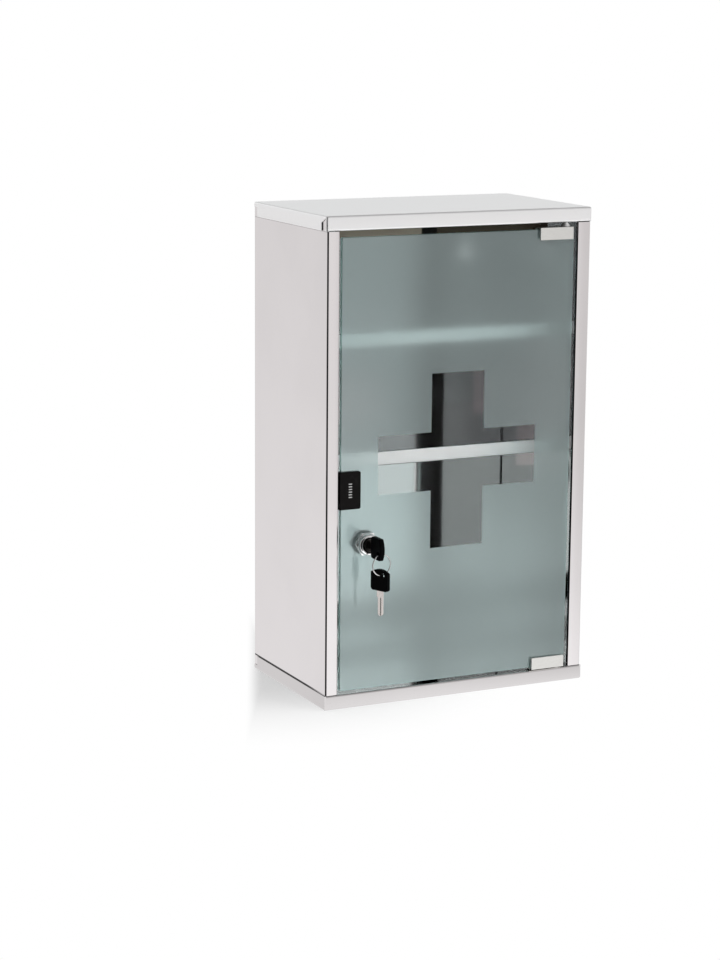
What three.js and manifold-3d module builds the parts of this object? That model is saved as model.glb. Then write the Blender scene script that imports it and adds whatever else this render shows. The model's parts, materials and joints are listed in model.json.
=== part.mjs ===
// Wall-hung steel medicine cabinet with a frosted glass door, cam lock and push latch.
// Millimetres. The wall is the plane y = 0, the front faces -Y and +Z is up.
// The origin is the middle of the back.
import * as THREE from 'three';
import { mergeVertices } from 'three/addons/utils/BufferGeometryUtils.js';
import { RoundedBoxGeometry } from 'three/addons/geometries/RoundedBoxGeometry.js';
import Module from 'manifold-3d';

const wasm = await Module();
wasm.setup();

// Carcass
const CABINET_WIDTH = 300;
const CABINET_DEPTH = 180;
const CABINET_HEIGHT = 500;
const SHEET = 0.8;
const BEND = 2;
const STILE_WIDTH = 15;
const HINGE_STILE_WIDTH = 17;
const STILE_RETURN = 12;
const PAN_FLANGE = 15;
const PAN_RETURN = 15;
const FRONT_NOTCH = 12;
const FRONT_NOTCH_SLOPE = 7;
const REAR_NOTCH = 9;
const REAR_NOTCH_DROP = 5;
const SEAT = 0.3;

// Keyhole slots in the back
const KEYHOLE_SPACING = 200;
const KEYHOLE_FROM_TOP = 64;
const KEYHOLE_HEAD_R = 4.5;
const KEYHOLE_SLOT_R = 2.5;
const KEYHOLE_SLOT_LENGTH = 10;

// Shelves
const SHELF_SETBACK = 55;
const SHELF_LIP = 15;
const SHELF_LIP_RETURN = 8;
const SHELF_END_FLANGE = 12;
const UPPER_SHELF_TOP = 125;
const LOWER_SHELF_TOP = 1.5;

// Glass door
const GLASS = 4;
const GLASS_CORNER = 1.5;
const GLASS_ARRIS = 0.4;
const DOOR_RECESS = 1;
const LATCH_SIDE_GAP = 2.5;
const HINGE_SIDE_GAP = 3;
const DOOR_TOP_GAP = 6.5;
const DOOR_BOTTOM_GAP = 3.5;

// Pivot hinges
const BLOCK_LENGTH = 39;
const BLOCK_GRIP = 10.5;
const BLOCK_INSET = 2.5;
const BLOCK_EDGE = 0.5;
const FRONT_JAW = 2.2;
const REAR_JAW = 4.2;
const BLOCK_WEB = 1.5;
const GLASS_EDGE_GAP = 0.5;
const CLAMP_PAD = 0.8;
const CLAMP_PAD_MARGIN = 2;
const CLAMP_SCREW_R = 2;
const CLAMP_SCREW_SPACING = 18;
const CLAMP_SOCKET_R = 1.15;
const CLAMP_SOCKET_DEPTH = 1.8;
const PIVOT_FROM_EDGE = 8;
const PIVOT_BEHIND_GLASS = 5;
const PIVOT_R = 3.2;
const PIVOT_FLANGE_R = 5.2;
const PIVOT_FLANGE = 0.6;
const PIVOT_SPIGOT_R = 1.8;
const PIVOT_PAST_SLEEVE = 2;
const SLEEVE_WALL = 0.7;
const SLEEVE_FLANGE = 0.8;
const SLEEVE_FLANGE_R = 4.6;
const RUNNING = 0.15;

// Push clip on the free edge of the glass
const CLIP_WIDTH = 23;
const CLIP_HEIGHT = 38.5;
const CLIP_BELOW_MIDDLE = 24.6;
const CLIP_PLATE = 1.2;
const CLIP_CORNER = 2;

// Cam lock
const LOCK_FROM_EDGE = 27.7;
const LOCK_BELOW_MIDDLE = 80;
const LOCK_PROUD = 11.7;
const BARREL_R = 9.5;
const BEZEL_R = 11.2;
const BEZEL = 5;
const BEZEL_TAPER = 4.2;
const BEZEL_LIP = 0.7;
const PLUG_R = 7.8;
const PLUG_RECESS = 0.3;
const COLLAR_ACROSS_CORNERS = 26;
const COLLAR = 4.5;
const NUT_ACROSS_CORNERS = 27;
const NUT = 5;
const GASKET = 0.7;
const GASKET_R = 11;
const WASHER = 1;
const WASHER_R = 12.5;
const CAM = 2;
const CAM_REACH = 27;
const CAM_R = 7;
const SHANK = 8;
const CAM_SCREW_HEAD_R = 5;
const CAM_SCREW_HEAD = 2.6;
const CAM_SCREW_R = 2;
const CAM_SCREW_LENGTH = 5;
const CAM_SCREW_SLOT = 1.1;

// Keys and their ring
const KEY_HEAD_WIDTH = 22.2;
const KEY_HEAD_LENGTH = 22;
const KEY_HEAD = 5.2;
const KEY_HEAD_CORNER = 3;
const KEY_HEAD_CROWN = 3.6;
const KEY_HEAD_EDGE = 0.6;
const KEY_HOLE_R = 2.7;
const KEY_HOLE_FROM_END = 5.8;
const KEY_HOLE_OFFSET = 4.5;
const BLADE = 2;
const BLADE_WIDTH = 7.6;
const BLADE_LENGTH = 26;
const BLADE_NECK = 7;
const BLADE_SHOULDER = 1.6;
const BLADE_GROOVE_WIDTH = 1.6;
const BLADE_GROOVE_DEPTH = 0.6;
const BLADE_IN_PLUG = 19.6;
const RING_R = 10.5;
const RING_WIRE_R = 0.7;
const RING_PLAY = 1.15;
const RING_YAW = THREE.MathUtils.degToRad(8);
const RING_LEAN = THREE.MathUtils.degToRad(10);
const SPARE_ON_RING = THREE.MathUtils.degToRad(15);
const SPARE_YAW = THREE.MathUtils.degToRad(-68);

// Push latch behind the clip
const LATCH_WIDTH = 16;
const LATCH_HEIGHT = 18;
const LATCH_LENGTH = 46;
const LATCH_CORNER = 1.5;
const LATCH_BACK_WALL = 4;
const PLUNGER_R = 5.5;
const PLUNGER_PROUD = 8;
const PLUNGER_IN_LATCH = 22;
const PLUNGER_WALL = 1.4;
const MAGNET_R = 4;
const MAGNET = 3;
const SPRING_R = 3;
const SPRING_WIRE_R = 0.4;
const SPRING_TURNS = 8;
const SPRING_POCKET = 14;
const BRACKET = 1.5;
const BRACKET_LENGTH = 38;
const BRACKET_FOOT = 16;
const LATCH_SCREW_R = 1.5;
const LATCH_SCREW_BITE = 3;
const LATCH_SCREW_HEAD_R = 2.8;
const LATCH_SCREW_HEAD = 1.8;
const LATCH_SCREW_SPACING = 26;

// How finely round shapes are cut
const BEND_STEPS = 3;
const ROUND_SIDES = 24;
const SMALL_ROUND_SIDES = 12;
const HEX_SIDES = 6;
const OVERCUT = 1;

// Places that follow from the sizes
const FRONT = -CABINET_DEPTH;
const HALF_WIDTH = CABINET_WIDTH / 2;
const HALF_HEIGHT = CABINET_HEIGHT / 2;
const WALL_OUTSIDE = HALF_WIDTH - SHEET - SEAT;
const WALL_INSIDE = WALL_OUTSIDE - SHEET;
const WRAP_HALF_HEIGHT = HALF_HEIGHT - BEND;
const PAN_MOUTH = HALF_HEIGHT - PAN_FLANGE;
const PAN_REAR = -SHEET - SEAT;
const OPENING_LEFT = -HALF_WIDTH + STILE_WIDTH;
const OPENING_RIGHT = HALF_WIDTH - HINGE_STILE_WIDTH;

const GLASS_FRONT = FRONT + DOOR_RECESS;
const GLASS_BACK = GLASS_FRONT + GLASS;
const GLASS_LEFT = OPENING_LEFT + LATCH_SIDE_GAP;
const GLASS_RIGHT = OPENING_RIGHT - HINGE_SIDE_GAP;
const GLASS_TOP = PAN_MOUTH - DOOR_TOP_GAP;
const GLASS_BOTTOM = -PAN_MOUTH + DOOR_BOTTOM_GAP;

const PIVOT_X = GLASS_RIGHT - PIVOT_FROM_EDGE;
const PIVOT_Y = GLASS_FRONT + PIVOT_BEHIND_GLASS;
const SLEEVE_R = PIVOT_R + RUNNING + SLEEVE_WALL;

const CLIP_Z = -CLIP_BELOW_MIDDLE;
const CLIP_LEFT = GLASS_LEFT - SEAT - CLIP_PLATE;
const CLIP_FRONT = GLASS_FRONT - SEAT - CLIP_PLATE;
const CLIP_BACK = GLASS_BACK + SEAT + CLIP_PLATE;

const LOCK_X = GLASS_LEFT + LOCK_FROM_EDGE;
const LOCK_Z = -LOCK_BELOW_MIDDLE;
const LOCK_FACE = GLASS_FRONT - LOCK_PROUD;
const PLUG_FACE = LOCK_FACE + PLUG_RECESS;
const NUT_FRONT = GLASS_BACK + WASHER + 2 * SEAT;
const CAM_FRONT = Math.max(NUT_FRONT + NUT, FRONT + STILE_RETURN) + 3 * SEAT;
const BARREL_BACK = CAM_FRONT - 2 * SEAT;
const BORE_R = PLUG_R + SEAT;

const KEY_HEAD_INNER = PLUG_FACE + BLADE_IN_PLUG - BLADE_LENGTH;
const KEYWAY_DEPTH = BLADE_IN_PLUG + SEAT;

const LATCH_X = CLIP_LEFT + CLIP_WIDTH / 2;
const PLUNGER_TIP = CLIP_BACK + SEAT;
const LATCH_FRONT = PLUNGER_TIP + PLUNGER_PROUD;
const LATCH_BACK = LATCH_FRONT + LATCH_LENGTH;
const LATCH_MIDDLE = (LATCH_FRONT + LATCH_BACK) / 2;
const LATCH_UNDERSIDE = CLIP_Z - LATCH_HEIGHT / 2;
const BRACKET_TOP = LATCH_UNDERSIDE - SEAT;

// Finishes
const STEEL = { color: 0xd6d3d3, roughness: 0.28, metalness: 1 };
const BRIGHT = { color: 0xe4e4e6, roughness: 0.12, metalness: 1 };
const SATIN = { color: 0xcfcdc9, roughness: 0.38, metalness: 1 };
const FROSTED = { color: 0xa9bcbb, roughness: 0.45, metalness: 0, transparent: true, opacity: 0.55 };
const BLACK_COAT = { color: 0x191516, roughness: 0.4, metalness: 0 };
const BLACK_PLASTIC = { color: 0x0b0b0c, roughness: 0.35, metalness: 0 };
const DARK_PLUG = { color: 0x3a3836, roughness: 0.3, metalness: 1 };
const NYLON = { color: 0xeceae4, roughness: 0.5, metalness: 0 };
const RUBBER = { color: 0x2c2c2c, roughness: 0.85, metalness: 0 };
const GREY_PLASTIC = { color: 0xb9babb, roughness: 0.5, metalness: 0 };
const MAGNET_GREY = { color: 0x5c5c5f, roughness: 0.5, metalness: 0.6 };

// Axes for a profile drawn flat and pushed out along X, or along -Y
const X_AXIS = new THREE.Vector3(1, 0, 0);
const Y_AXIS = new THREE.Vector3(0, 1, 0);
const Z_AXIS = new THREE.Vector3(0, 0, 1);
const ALONG_X = new THREE.Matrix4().makeBasis(Y_AXIS, Z_AXIS, X_AXIS);
const TO_FRONT = new THREE.Matrix4().makeBasis(X_AXIS, Z_AXIS, Y_AXIS.clone().negate());

function solid(geometry) {
  const bare = geometry.clone();
  bare.deleteAttribute('normal');
  bare.deleteAttribute('uv');
  const merged = mergeVertices(bare, 1e-4);
  return new wasm.Manifold(new wasm.Mesh({
    numProp: 3,
    vertProperties: new Float32Array(merged.attributes.position.array),
    triVerts: new Uint32Array(merged.index.array),
  }));
}

function surface(manifold) {
  const mesh = manifold.getMesh();
  const geometry = new THREE.BufferGeometry();
  geometry.setAttribute('position', new THREE.BufferAttribute(mesh.vertProperties, 3));
  geometry.setIndex(new THREE.BufferAttribute(mesh.triVerts, 1));
  geometry.computeVertexNormals();
  return geometry;
}

// The body with each of the other shapes added to it, or cut from it
function join(body, ...additions) {
  return surface(additions.reduce((sum, part) => sum.add(solid(part)), solid(body)));
}

function cut(body, ...cutters) {
  return surface(cutters.reduce((rest, part) => rest.subtract(solid(part)), solid(body)));
}

function block(x, y, z) {
  const size = [x, y, z].map(([low, high]) => high - low);
  const middle = [x, y, z].map(([low, high]) => (low + high) / 2);
  return new THREE.BoxGeometry(...size).translate(...middle);
}

function roundedBlock(x, y, z, radius) {
  const size = [x, y, z].map(([low, high]) => high - low);
  const middle = [x, y, z].map(([low, high]) => (low + high) / 2);
  return new RoundedBoxGeometry(...size, 2, radius).translate(...middle);
}

function rodAlongY(radius, x, z, y, sides = ROUND_SIDES, turn = 0) {
  const rod = new THREE.CylinderGeometry(radius, radius, y[1] - y[0], sides).rotateY(turn);
  return rod.translate(x, (y[0] + y[1]) / 2, z);
}

function rodAlongZ(radius, x, y, z, sides = ROUND_SIDES) {
  const rod = new THREE.CylinderGeometry(radius, radius, z[1] - z[0], sides).rotateX(Math.PI / 2);
  return rod.translate(x, y, (z[0] + z[1]) / 2);
}

// A turned piece on an axis along Y, from [radius, y] points
function turned(profile, x, z, sides = ROUND_SIDES) {
  const points = profile.map(([radius, y]) => new THREE.Vector2(radius, y));
  return new THREE.LatheGeometry(points, sides).translate(x, 0, z);
}

function push(shape, depth, options = {}) {
  return new THREE.ExtrudeGeometry(shape, { depth, bevelEnabled: false, curveSegments: 6, ...options });
}

// An outline in X and Z, solid between two depths
function plate(shape, y, options = {}) {
  return push(shape, y[1] - y[0], options).applyMatrix4(TO_FRONT).translate(0, y[1], 0);
}

// A profile in Y and Z, solid between two X values
function bar(shape, x, options = {}) {
  return push(shape, x[1] - x[0], options).applyMatrix4(ALONG_X).translate(x[0], 0, 0);
}

function polygon(points) {
  return new THREE.Shape(points.map(([u, v]) => new THREE.Vector2(u, v)));
}

function roundedRectangle(left, right, low, high, radius) {
  const shape = new THREE.Shape();
  shape.absarc(right - radius, low + radius, radius, -Math.PI / 2, 0);
  shape.absarc(right - radius, high - radius, radius, 0, Math.PI / 2);
  shape.absarc(left + radius, high - radius, radius, Math.PI / 2, Math.PI);
  shape.absarc(left + radius, low + radius, radius, Math.PI, 1.5 * Math.PI);
  return shape;
}

function circle(x, z, radius) {
  return new THREE.Path().absarc(x, z, radius, 0, 2 * Math.PI);
}

// A line through the corners, with each inner corner turned into an arc
function bentLine(corners, radius) {
  const line = [corners[0]];
  for (let i = 1; i < corners.length - 1; i += 1) {
    const into = corners[i].clone().sub(corners[i - 1]).normalize();
    const out = corners[i + 1].clone().sub(corners[i]).normalize();
    const turn = Math.atan2(into.cross(out), into.dot(out));
    const start = corners[i].clone().addScaledVector(into, -radius * Math.tan(turn / 2));
    const centre = start.clone().add(new THREE.Vector2(-into.y, into.x).multiplyScalar(radius));
    for (let step = 0; step <= BEND_STEPS; step += 1) {
      line.push(start.clone().rotateAround(centre, (turn * step) / BEND_STEPS));
    }
  }
  line.push(corners.at(-1));
  return line;
}

// The same line moved to its left
function offsetLine(corners, distance) {
  return corners.map((corner, i) => {
    const into = (i > 0 ? corner.clone().sub(corners[i - 1]) : corners[1].clone().sub(corner)).normalize();
    const out = (i < corners.length - 1 ? corners[i + 1].clone().sub(corner) : into.clone()).normalize();
    const shift = new THREE.Vector2(-into.y - out.y, into.x + out.x);
    return corner.clone().addScaledVector(shift, distance / (1 + into.dot(out)));
  });
}

// The section of a sheet folded along these corners of its outside face. All folds turn left.
function foldedSection(points) {
  const corners = points.map(([u, v]) => new THREE.Vector2(u, v));
  const outside = bentLine(corners, BEND);
  const inside = bentLine(offsetLine(corners, SHEET), BEND - SHEET);
  return new THREE.Shape([...outside, ...inside.reverse()]);
}

const cabinet = new THREE.Group();

function addPiece(name, geometry, finish, parent = cabinet) {
  const piece = new THREE.Mesh(geometry, new THREE.MeshStandardMaterial(finish));
  piece.name = name;
  parent.add(piece);
  return piece;
}

// Carcass: side walls, back and stiles are one folded sheet between two pans

function keyhole(x) {
  const z = HALF_HEIGHT - KEYHOLE_FROM_TOP;
  const y = [-SHEET - OVERCUT, OVERCUT];
  const slotTop = z + KEYHOLE_SLOT_LENGTH;
  return [
    rodAlongY(KEYHOLE_HEAD_R, x, z, y, SMALL_ROUND_SIDES),
    block([x - KEYHOLE_SLOT_R, x + KEYHOLE_SLOT_R], y, [z, slotTop]),
    rodAlongY(KEYHOLE_SLOT_R, x, slotTop, y, SMALL_ROUND_SIDES),
  ];
}

// Room at one end of a stile for the pan's front flange and return
function stileNotch(side, end) {
  const z = [end * (PAN_MOUTH - SEAT), end * HALF_HEIGHT].sort((a, b) => a - b);
  const opening = side < 0 ? OPENING_LEFT : OPENING_RIGHT;
  const stile = [opening - side * OVERCUT, side * WALL_INSIDE].sort((a, b) => a - b);
  const wall = [side * (WALL_INSIDE - OVERCUT), side * (HALF_WIDTH + OVERCUT)].sort((a, b) => a - b);
  return [
    block(stile, [FRONT - OVERCUT, FRONT + STILE_RETURN + OVERCUT], z),
    block(wall, [FRONT - OVERCUT, FRONT + BEND + SEAT], z),
  ];
}

function bodyWrap() {
  const section = foldedSection([
    [OPENING_RIGHT, FRONT + STILE_RETURN],
    [OPENING_RIGHT, FRONT],
    [WALL_OUTSIDE, FRONT],
    [WALL_OUTSIDE, 0],
    [-WALL_OUTSIDE, 0],
    [-WALL_OUTSIDE, FRONT],
    [OPENING_LEFT, FRONT],
    [OPENING_LEFT, FRONT + STILE_RETURN],
  ]);
  const sheet = push(section, 2 * WRAP_HALF_HEIGHT).translate(0, 0, -WRAP_HALF_HEIGHT);
  const notches = [-1, 1].flatMap((side) => [-1, 1].flatMap((end) => stileNotch(side, end)));
  const keyholes = [-1, 1].flatMap((side) => keyhole((side * KEYHOLE_SPACING) / 2));
  return cut(sheet, ...notches, ...keyholes);
}

// A pan with its mouth down. The bottom pan is the same shape turned over.
function pan(pivotX, openFrontCorners) {
  const outerWidth = [-HALF_WIDTH, HALF_WIDTH];
  const innerWidth = [-HALF_WIDTH + SHEET, HALF_WIDTH - SHEET];
  const outer = roundedBlock(outerWidth, [FRONT, PAN_REAR], [PAN_MOUTH - PAN_FLANGE, HALF_HEIGHT], BEND);
  const inner = roundedBlock(
    innerWidth,
    [FRONT + SHEET, PAN_REAR - SHEET],
    [PAN_MOUTH - PAN_FLANGE + SHEET, HALF_HEIGHT - SHEET],
    BEND - SHEET,
  );
  const returnWidth = [-WALL_INSIDE + SEAT, WALL_INSIDE - SEAT];
  const cutters = [
    block(
      [-HALF_WIDTH - OVERCUT, HALF_WIDTH + OVERCUT],
      [FRONT - OVERCUT, OVERCUT],
      [PAN_MOUTH - PAN_FLANGE - OVERCUT, PAN_MOUTH],
    ),
    block(returnWidth, [FRONT - OVERCUT, FRONT + BEND], [PAN_MOUTH - OVERCUT, PAN_MOUTH + BEND]),
  ];
  for (const side of [-1, 1]) {
    const flangeInside = side * (HALF_WIDTH - SHEET - SEAT);
    const flangeCut = [flangeInside, side * (HALF_WIDTH + OVERCUT)].sort((a, b) => a - b);
    const rearLip = [side * (WALL_INSIDE - BEND - SEAT), side * (HALF_WIDTH - SHEET)].sort((a, b) => a - b);
    const rearNotch = PAN_REAR - REAR_NOTCH;
    cutters.push(
      block(rearLip, [PAN_REAR - BEND - SEAT, OVERCUT], [PAN_MOUTH - OVERCUT, HALF_HEIGHT - SHEET]),
      block(flangeCut, [rearNotch, OVERCUT], [PAN_MOUTH - OVERCUT, HALF_HEIGHT - REAR_NOTCH_DROP]),
    );
    if (openFrontCorners) {
      const notch = polygon([
        [FRONT + BEND, PAN_MOUTH - OVERCUT],
        [FRONT + FRONT_NOTCH, PAN_MOUTH - OVERCUT],
        [FRONT + FRONT_NOTCH, HALF_HEIGHT - FRONT_NOTCH_SLOPE],
        [FRONT + BEND, HALF_HEIGHT - BEND],
      ]);
      cutters.push(bar(notch, flangeCut));
    }
  }
  const shell = cut(outer, inner, ...cutters);
  const channel = foldedSection([
    [FRONT, HALF_HEIGHT - BEND - SHEET],
    [FRONT, PAN_MOUTH],
    [FRONT + PAN_RETURN, PAN_MOUTH],
  ]);
  const whole = join(shell, bar(channel, returnWidth));
  const sleeveHole = [PAN_MOUTH - OVERCUT, PAN_MOUTH + SHEET + OVERCUT];
  return cut(whole, rodAlongZ(SLEEVE_R + SEAT, pivotX, PIVOT_Y, sleeveHole));
}

function shelf(top) {
  const shelfEnd = WALL_INSIDE - SEAT;
  const front = FRONT + SHELF_SETBACK;
  const rear = -SHEET - SEAT;
  const section = foldedSection([
    [rear, top],
    [front, top],
    [front, top - SHELF_LIP],
    [front + SHELF_LIP_RETURN, top - SHELF_LIP],
  ]);
  const deck = bar(section, [-shelfEnd, shelfEnd]);
  const flangeDepth = [front + SHEET, rear - BEND];
  const flanges = [-1, 1].map((side) => {
    const x = [side * shelfEnd, side * (shelfEnd - SHEET)].sort((a, b) => a - b);
    return block(x, flangeDepth, [top - SHELF_END_FLANGE, top - SHEET / 2]);
  });
  const corners = [-1, 1].map((side) => {
    const x = [side * (WALL_INSIDE - BEND), side * WALL_INSIDE].sort((a, b) => a - b);
    return block(x, [rear - BEND, OVERCUT], [top - SHELF_LIP, top + OVERCUT]);
  });
  return cut(join(deck, ...flanges), ...corners);
}

addPiece('body_wrap', bodyWrap(), STEEL);
addPiece('top_pan', pan(PIVOT_X, true), STEEL);
addPiece('bottom_pan', pan(-PIVOT_X, false), STEEL).rotation.y = Math.PI;
addPiece('upper_shelf', shelf(UPPER_SHELF_TOP), STEEL);
addPiece('lower_shelf', shelf(LOWER_SHELF_TOP), STEEL);

// Door: one pane, with a hole for the lock

function glassPane() {
  const outline = roundedRectangle(GLASS_LEFT, GLASS_RIGHT, GLASS_BOTTOM, GLASS_TOP, GLASS_CORNER);
  outline.holes.push(circle(LOCK_X, LOCK_Z, BARREL_R + SEAT));
  return plate(outline, [GLASS_FRONT + GLASS_ARRIS, GLASS_BACK - GLASS_ARRIS], {
    curveSegments: 16,
    bevelEnabled: true,
    bevelSegments: 1,
    bevelSize: GLASS_ARRIS,
    bevelOffset: -GLASS_ARRIS,
    bevelThickness: GLASS_ARRIS,
  });
}

addPiece('glass_pane', glassPane(), FROSTED);

// Hinges: a U-shaped clamp at each end of the glass's hinge edge, turning on a coned pin

function hinge(name, glassEdge, panMouth, up) {
  const along = (distance) => glassEdge + up * distance;
  const span = (low, high) => [along(low), along(high)].sort((a, b) => a - b);
  const right = GLASS_RIGHT - BLOCK_INSET;
  const left = right - BLOCK_LENGTH;
  const top = GLASS_EDGE_GAP + BLOCK_WEB;
  const slotFront = GLASS_FRONT - CLAMP_PAD - 2 * SEAT;
  const slotBack = GLASS_BACK + CLAMP_PAD + 2 * SEAT;
  const blockFront = slotFront - FRONT_JAW;
  const blockBack = slotBack + REAR_JAW;
  const screwZ = along(-BLOCK_GRIP / 2);
  const screwXs = [-1, 1].map((side) => (left + right + side * CLAMP_SCREW_SPACING) / 2);

  const section = polygon([
    [blockFront, along(top)],
    [blockFront, along(-BLOCK_GRIP)],
    [slotFront, along(-BLOCK_GRIP)],
    [slotFront, along(GLASS_EDGE_GAP)],
    [slotBack, along(GLASS_EDGE_GAP)],
    [slotBack, along(-BLOCK_GRIP)],
    [blockBack, along(-BLOCK_GRIP)],
    [blockBack, along(top)],
  ]);
  const clamp = bar(section, [left + BLOCK_EDGE, right - BLOCK_EDGE], {
    bevelEnabled: true,
    bevelSegments: 1,
    bevelSize: BLOCK_EDGE,
    bevelOffset: -BLOCK_EDGE,
    bevelThickness: BLOCK_EDGE,
  });
  const spigotHole = rodAlongZ(
    PIVOT_SPIGOT_R + SEAT,
    PIVOT_X,
    PIVOT_Y,
    span(GLASS_EDGE_GAP - OVERCUT, top + OVERCUT),
    SMALL_ROUND_SIDES,
  );
  const screwHoles = screwXs.map((x) => rodAlongY(
    CLAMP_SCREW_R + SEAT, x, screwZ, [slotBack - SEAT, blockBack + OVERCUT], SMALL_ROUND_SIDES,
  ));
  addPiece(`${name}_hinge_block`, cut(clamp, spigotHole, ...screwHoles), SATIN);

  const padX = [left + CLAMP_PAD_MARGIN, right - CLAMP_PAD_MARGIN];
  const padZ = span(-BLOCK_GRIP + CLAMP_PAD_MARGIN / 2, -CLAMP_PAD_MARGIN / 2);
  const frontPadY = [GLASS_FRONT - SEAT - CLAMP_PAD, GLASS_FRONT - SEAT];
  const rearPadY = [GLASS_BACK + SEAT, GLASS_BACK + SEAT + CLAMP_PAD];
  addPiece(`${name}_front_pad`, block(padX, frontPadY, padZ), RUBBER);
  addPiece(`${name}_rear_pad`, block(padX, rearPadY, padZ), RUBBER);
  screwXs.forEach((x, i) => {
    const body = rodAlongY(CLAMP_SCREW_R, x, screwZ, [slotBack, blockBack + SEAT], SMALL_ROUND_SIDES);
    const socket = [blockBack + SEAT - CLAMP_SOCKET_DEPTH, blockBack + OVERCUT];
    const screw = cut(body, rodAlongY(CLAMP_SOCKET_R, x, screwZ, socket, HEX_SIDES));
    addPiece(`${name}_clamp_screw_${i + 1}`, screw, BRIGHT);
  });

  const panReach = Math.abs(panMouth - along(top));
  const sleeveLength = SHEET + SEAT + SLEEVE_FLANGE;
  const pinEnd = panReach + sleeveLength + PIVOT_PAST_SLEEVE;
  const pin = turned([
    [0, -BLOCK_WEB],
    [PIVOT_SPIGOT_R, -BLOCK_WEB],
    [PIVOT_SPIGOT_R, 0],
    [PIVOT_FLANGE_R, 0],
    [PIVOT_FLANGE_R, PIVOT_FLANGE],
    [PIVOT_R, panReach - SEAT],
    [PIVOT_R, pinEnd - RUNNING],
    [0, pinEnd],
  ], 0, 0);
  pin.rotateX((up * Math.PI) / 2).translate(PIVOT_X, PIVOT_Y, along(top));
  addPiece(`${name}_pivot_pin`, pin, BRIGHT);

  const sleeve = turned([
    [PIVOT_R + RUNNING, 0],
    [SLEEVE_R, 0],
    [SLEEVE_R, SHEET + SEAT],
    [SLEEVE_FLANGE_R, SHEET + SEAT],
    [SLEEVE_FLANGE_R, sleeveLength],
    [PIVOT_R + RUNNING, sleeveLength],
    [PIVOT_R + RUNNING, 0],
  ], 0, 0);
  sleeve.rotateX((up * Math.PI) / 2).translate(PIVOT_X, PIVOT_Y, panMouth);
  addPiece(`${name}_pivot_sleeve`, sleeve, NYLON);
}

hinge('upper', GLASS_TOP, PAN_MOUTH, 1);
hinge('lower', GLASS_BOTTOM, -PAN_MOUTH, -1);

// Push clip: folded over the free edge of the glass

function strikeClip() {
  const right = CLIP_LEFT + CLIP_WIDTH;
  const low = CLIP_Z - CLIP_HEIGHT / 2;
  const high = CLIP_Z + CLIP_HEIGHT / 2;
  const outline = new THREE.Shape();
  outline.moveTo(CLIP_LEFT, high);
  outline.lineTo(CLIP_LEFT, low);
  outline.absarc(right - CLIP_CORNER, low + CLIP_CORNER, CLIP_CORNER, -Math.PI / 2, 0);
  outline.absarc(right - CLIP_CORNER, high - CLIP_CORNER, CLIP_CORNER, 0, Math.PI / 2);
  const slot = block(
    [GLASS_LEFT - SEAT, right + OVERCUT],
    [GLASS_FRONT - SEAT, GLASS_BACK + SEAT],
    [low - OVERCUT, high + OVERCUT],
  );
  return cut(plate(outline, [CLIP_FRONT, CLIP_BACK]), slot);
}

addPiece('strike_clip', strikeClip(), BLACK_COAT);

// Lock: a threaded barrel through the glass, with a turning plug that throws a cam

function ringAlongY(innerRadius, outerRadius, y, sides = ROUND_SIDES) {
  const body = rodAlongY(outerRadius, LOCK_X, LOCK_Z, y, sides, Math.PI / sides);
  return cut(body, rodAlongY(innerRadius, LOCK_X, LOCK_Z, [y[0] - OVERCUT, y[1] + OVERCUT]));
}

function lockHousing() {
  return turned([
    [BORE_R, LOCK_FACE],
    [BORE_R + BEZEL_LIP, LOCK_FACE],
    [BEZEL_R, LOCK_FACE + BEZEL_TAPER],
    [BEZEL_R, LOCK_FACE + BEZEL],
    [BARREL_R, LOCK_FACE + BEZEL],
    [BARREL_R, BARREL_BACK],
    [BORE_R, BARREL_BACK],
    [BORE_R, LOCK_FACE],
  ], LOCK_X, LOCK_Z);
}

function lockPlug() {
  const shankEnd = CAM_FRONT + CAM;
  const body = rodAlongY(PLUG_R, LOCK_X, LOCK_Z, [PLUG_FACE, BARREL_BACK]);
  const half = SHANK / 2;
  const shank = block(
    [LOCK_X - half, LOCK_X + half],
    [BARREL_BACK - OVERCUT, shankEnd],
    [LOCK_Z - half, LOCK_Z + half],
  );
  const halfThick = BLADE / 2 + SEAT;
  const halfWide = BLADE_WIDTH / 2 + SEAT;
  const keyway = block(
    [LOCK_X - halfThick, LOCK_X + halfThick],
    [PLUG_FACE - OVERCUT, PLUG_FACE + KEYWAY_DEPTH],
    [LOCK_Z - halfWide, LOCK_Z + halfWide],
  );
  const screwHole = [shankEnd + SEAT - CAM_SCREW_LENGTH, shankEnd + OVERCUT];
  return cut(
    join(body, shank),
    keyway,
    rodAlongY(CAM_SCREW_R + SEAT, LOCK_X, LOCK_Z, screwHole, SMALL_ROUND_SIDES),
  );
}

// The cam points down when unlocked
function lockCam() {
  const outline = new THREE.Shape();
  outline.absarc(LOCK_X, LOCK_Z, CAM_R, 0, Math.PI);
  outline.absarc(LOCK_X, LOCK_Z - CAM_REACH, CAM_R, Math.PI, 2 * Math.PI);
  const half = SHANK / 2 + SEAT;
  const body = plate(outline, [CAM_FRONT, CAM_FRONT + CAM]);
  const hole = block(
    [LOCK_X - half, LOCK_X + half],
    [CAM_FRONT - OVERCUT, CAM_FRONT + CAM + OVERCUT],
    [LOCK_Z - half, LOCK_Z + half],
  );
  return cut(body, hole);
}

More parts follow.
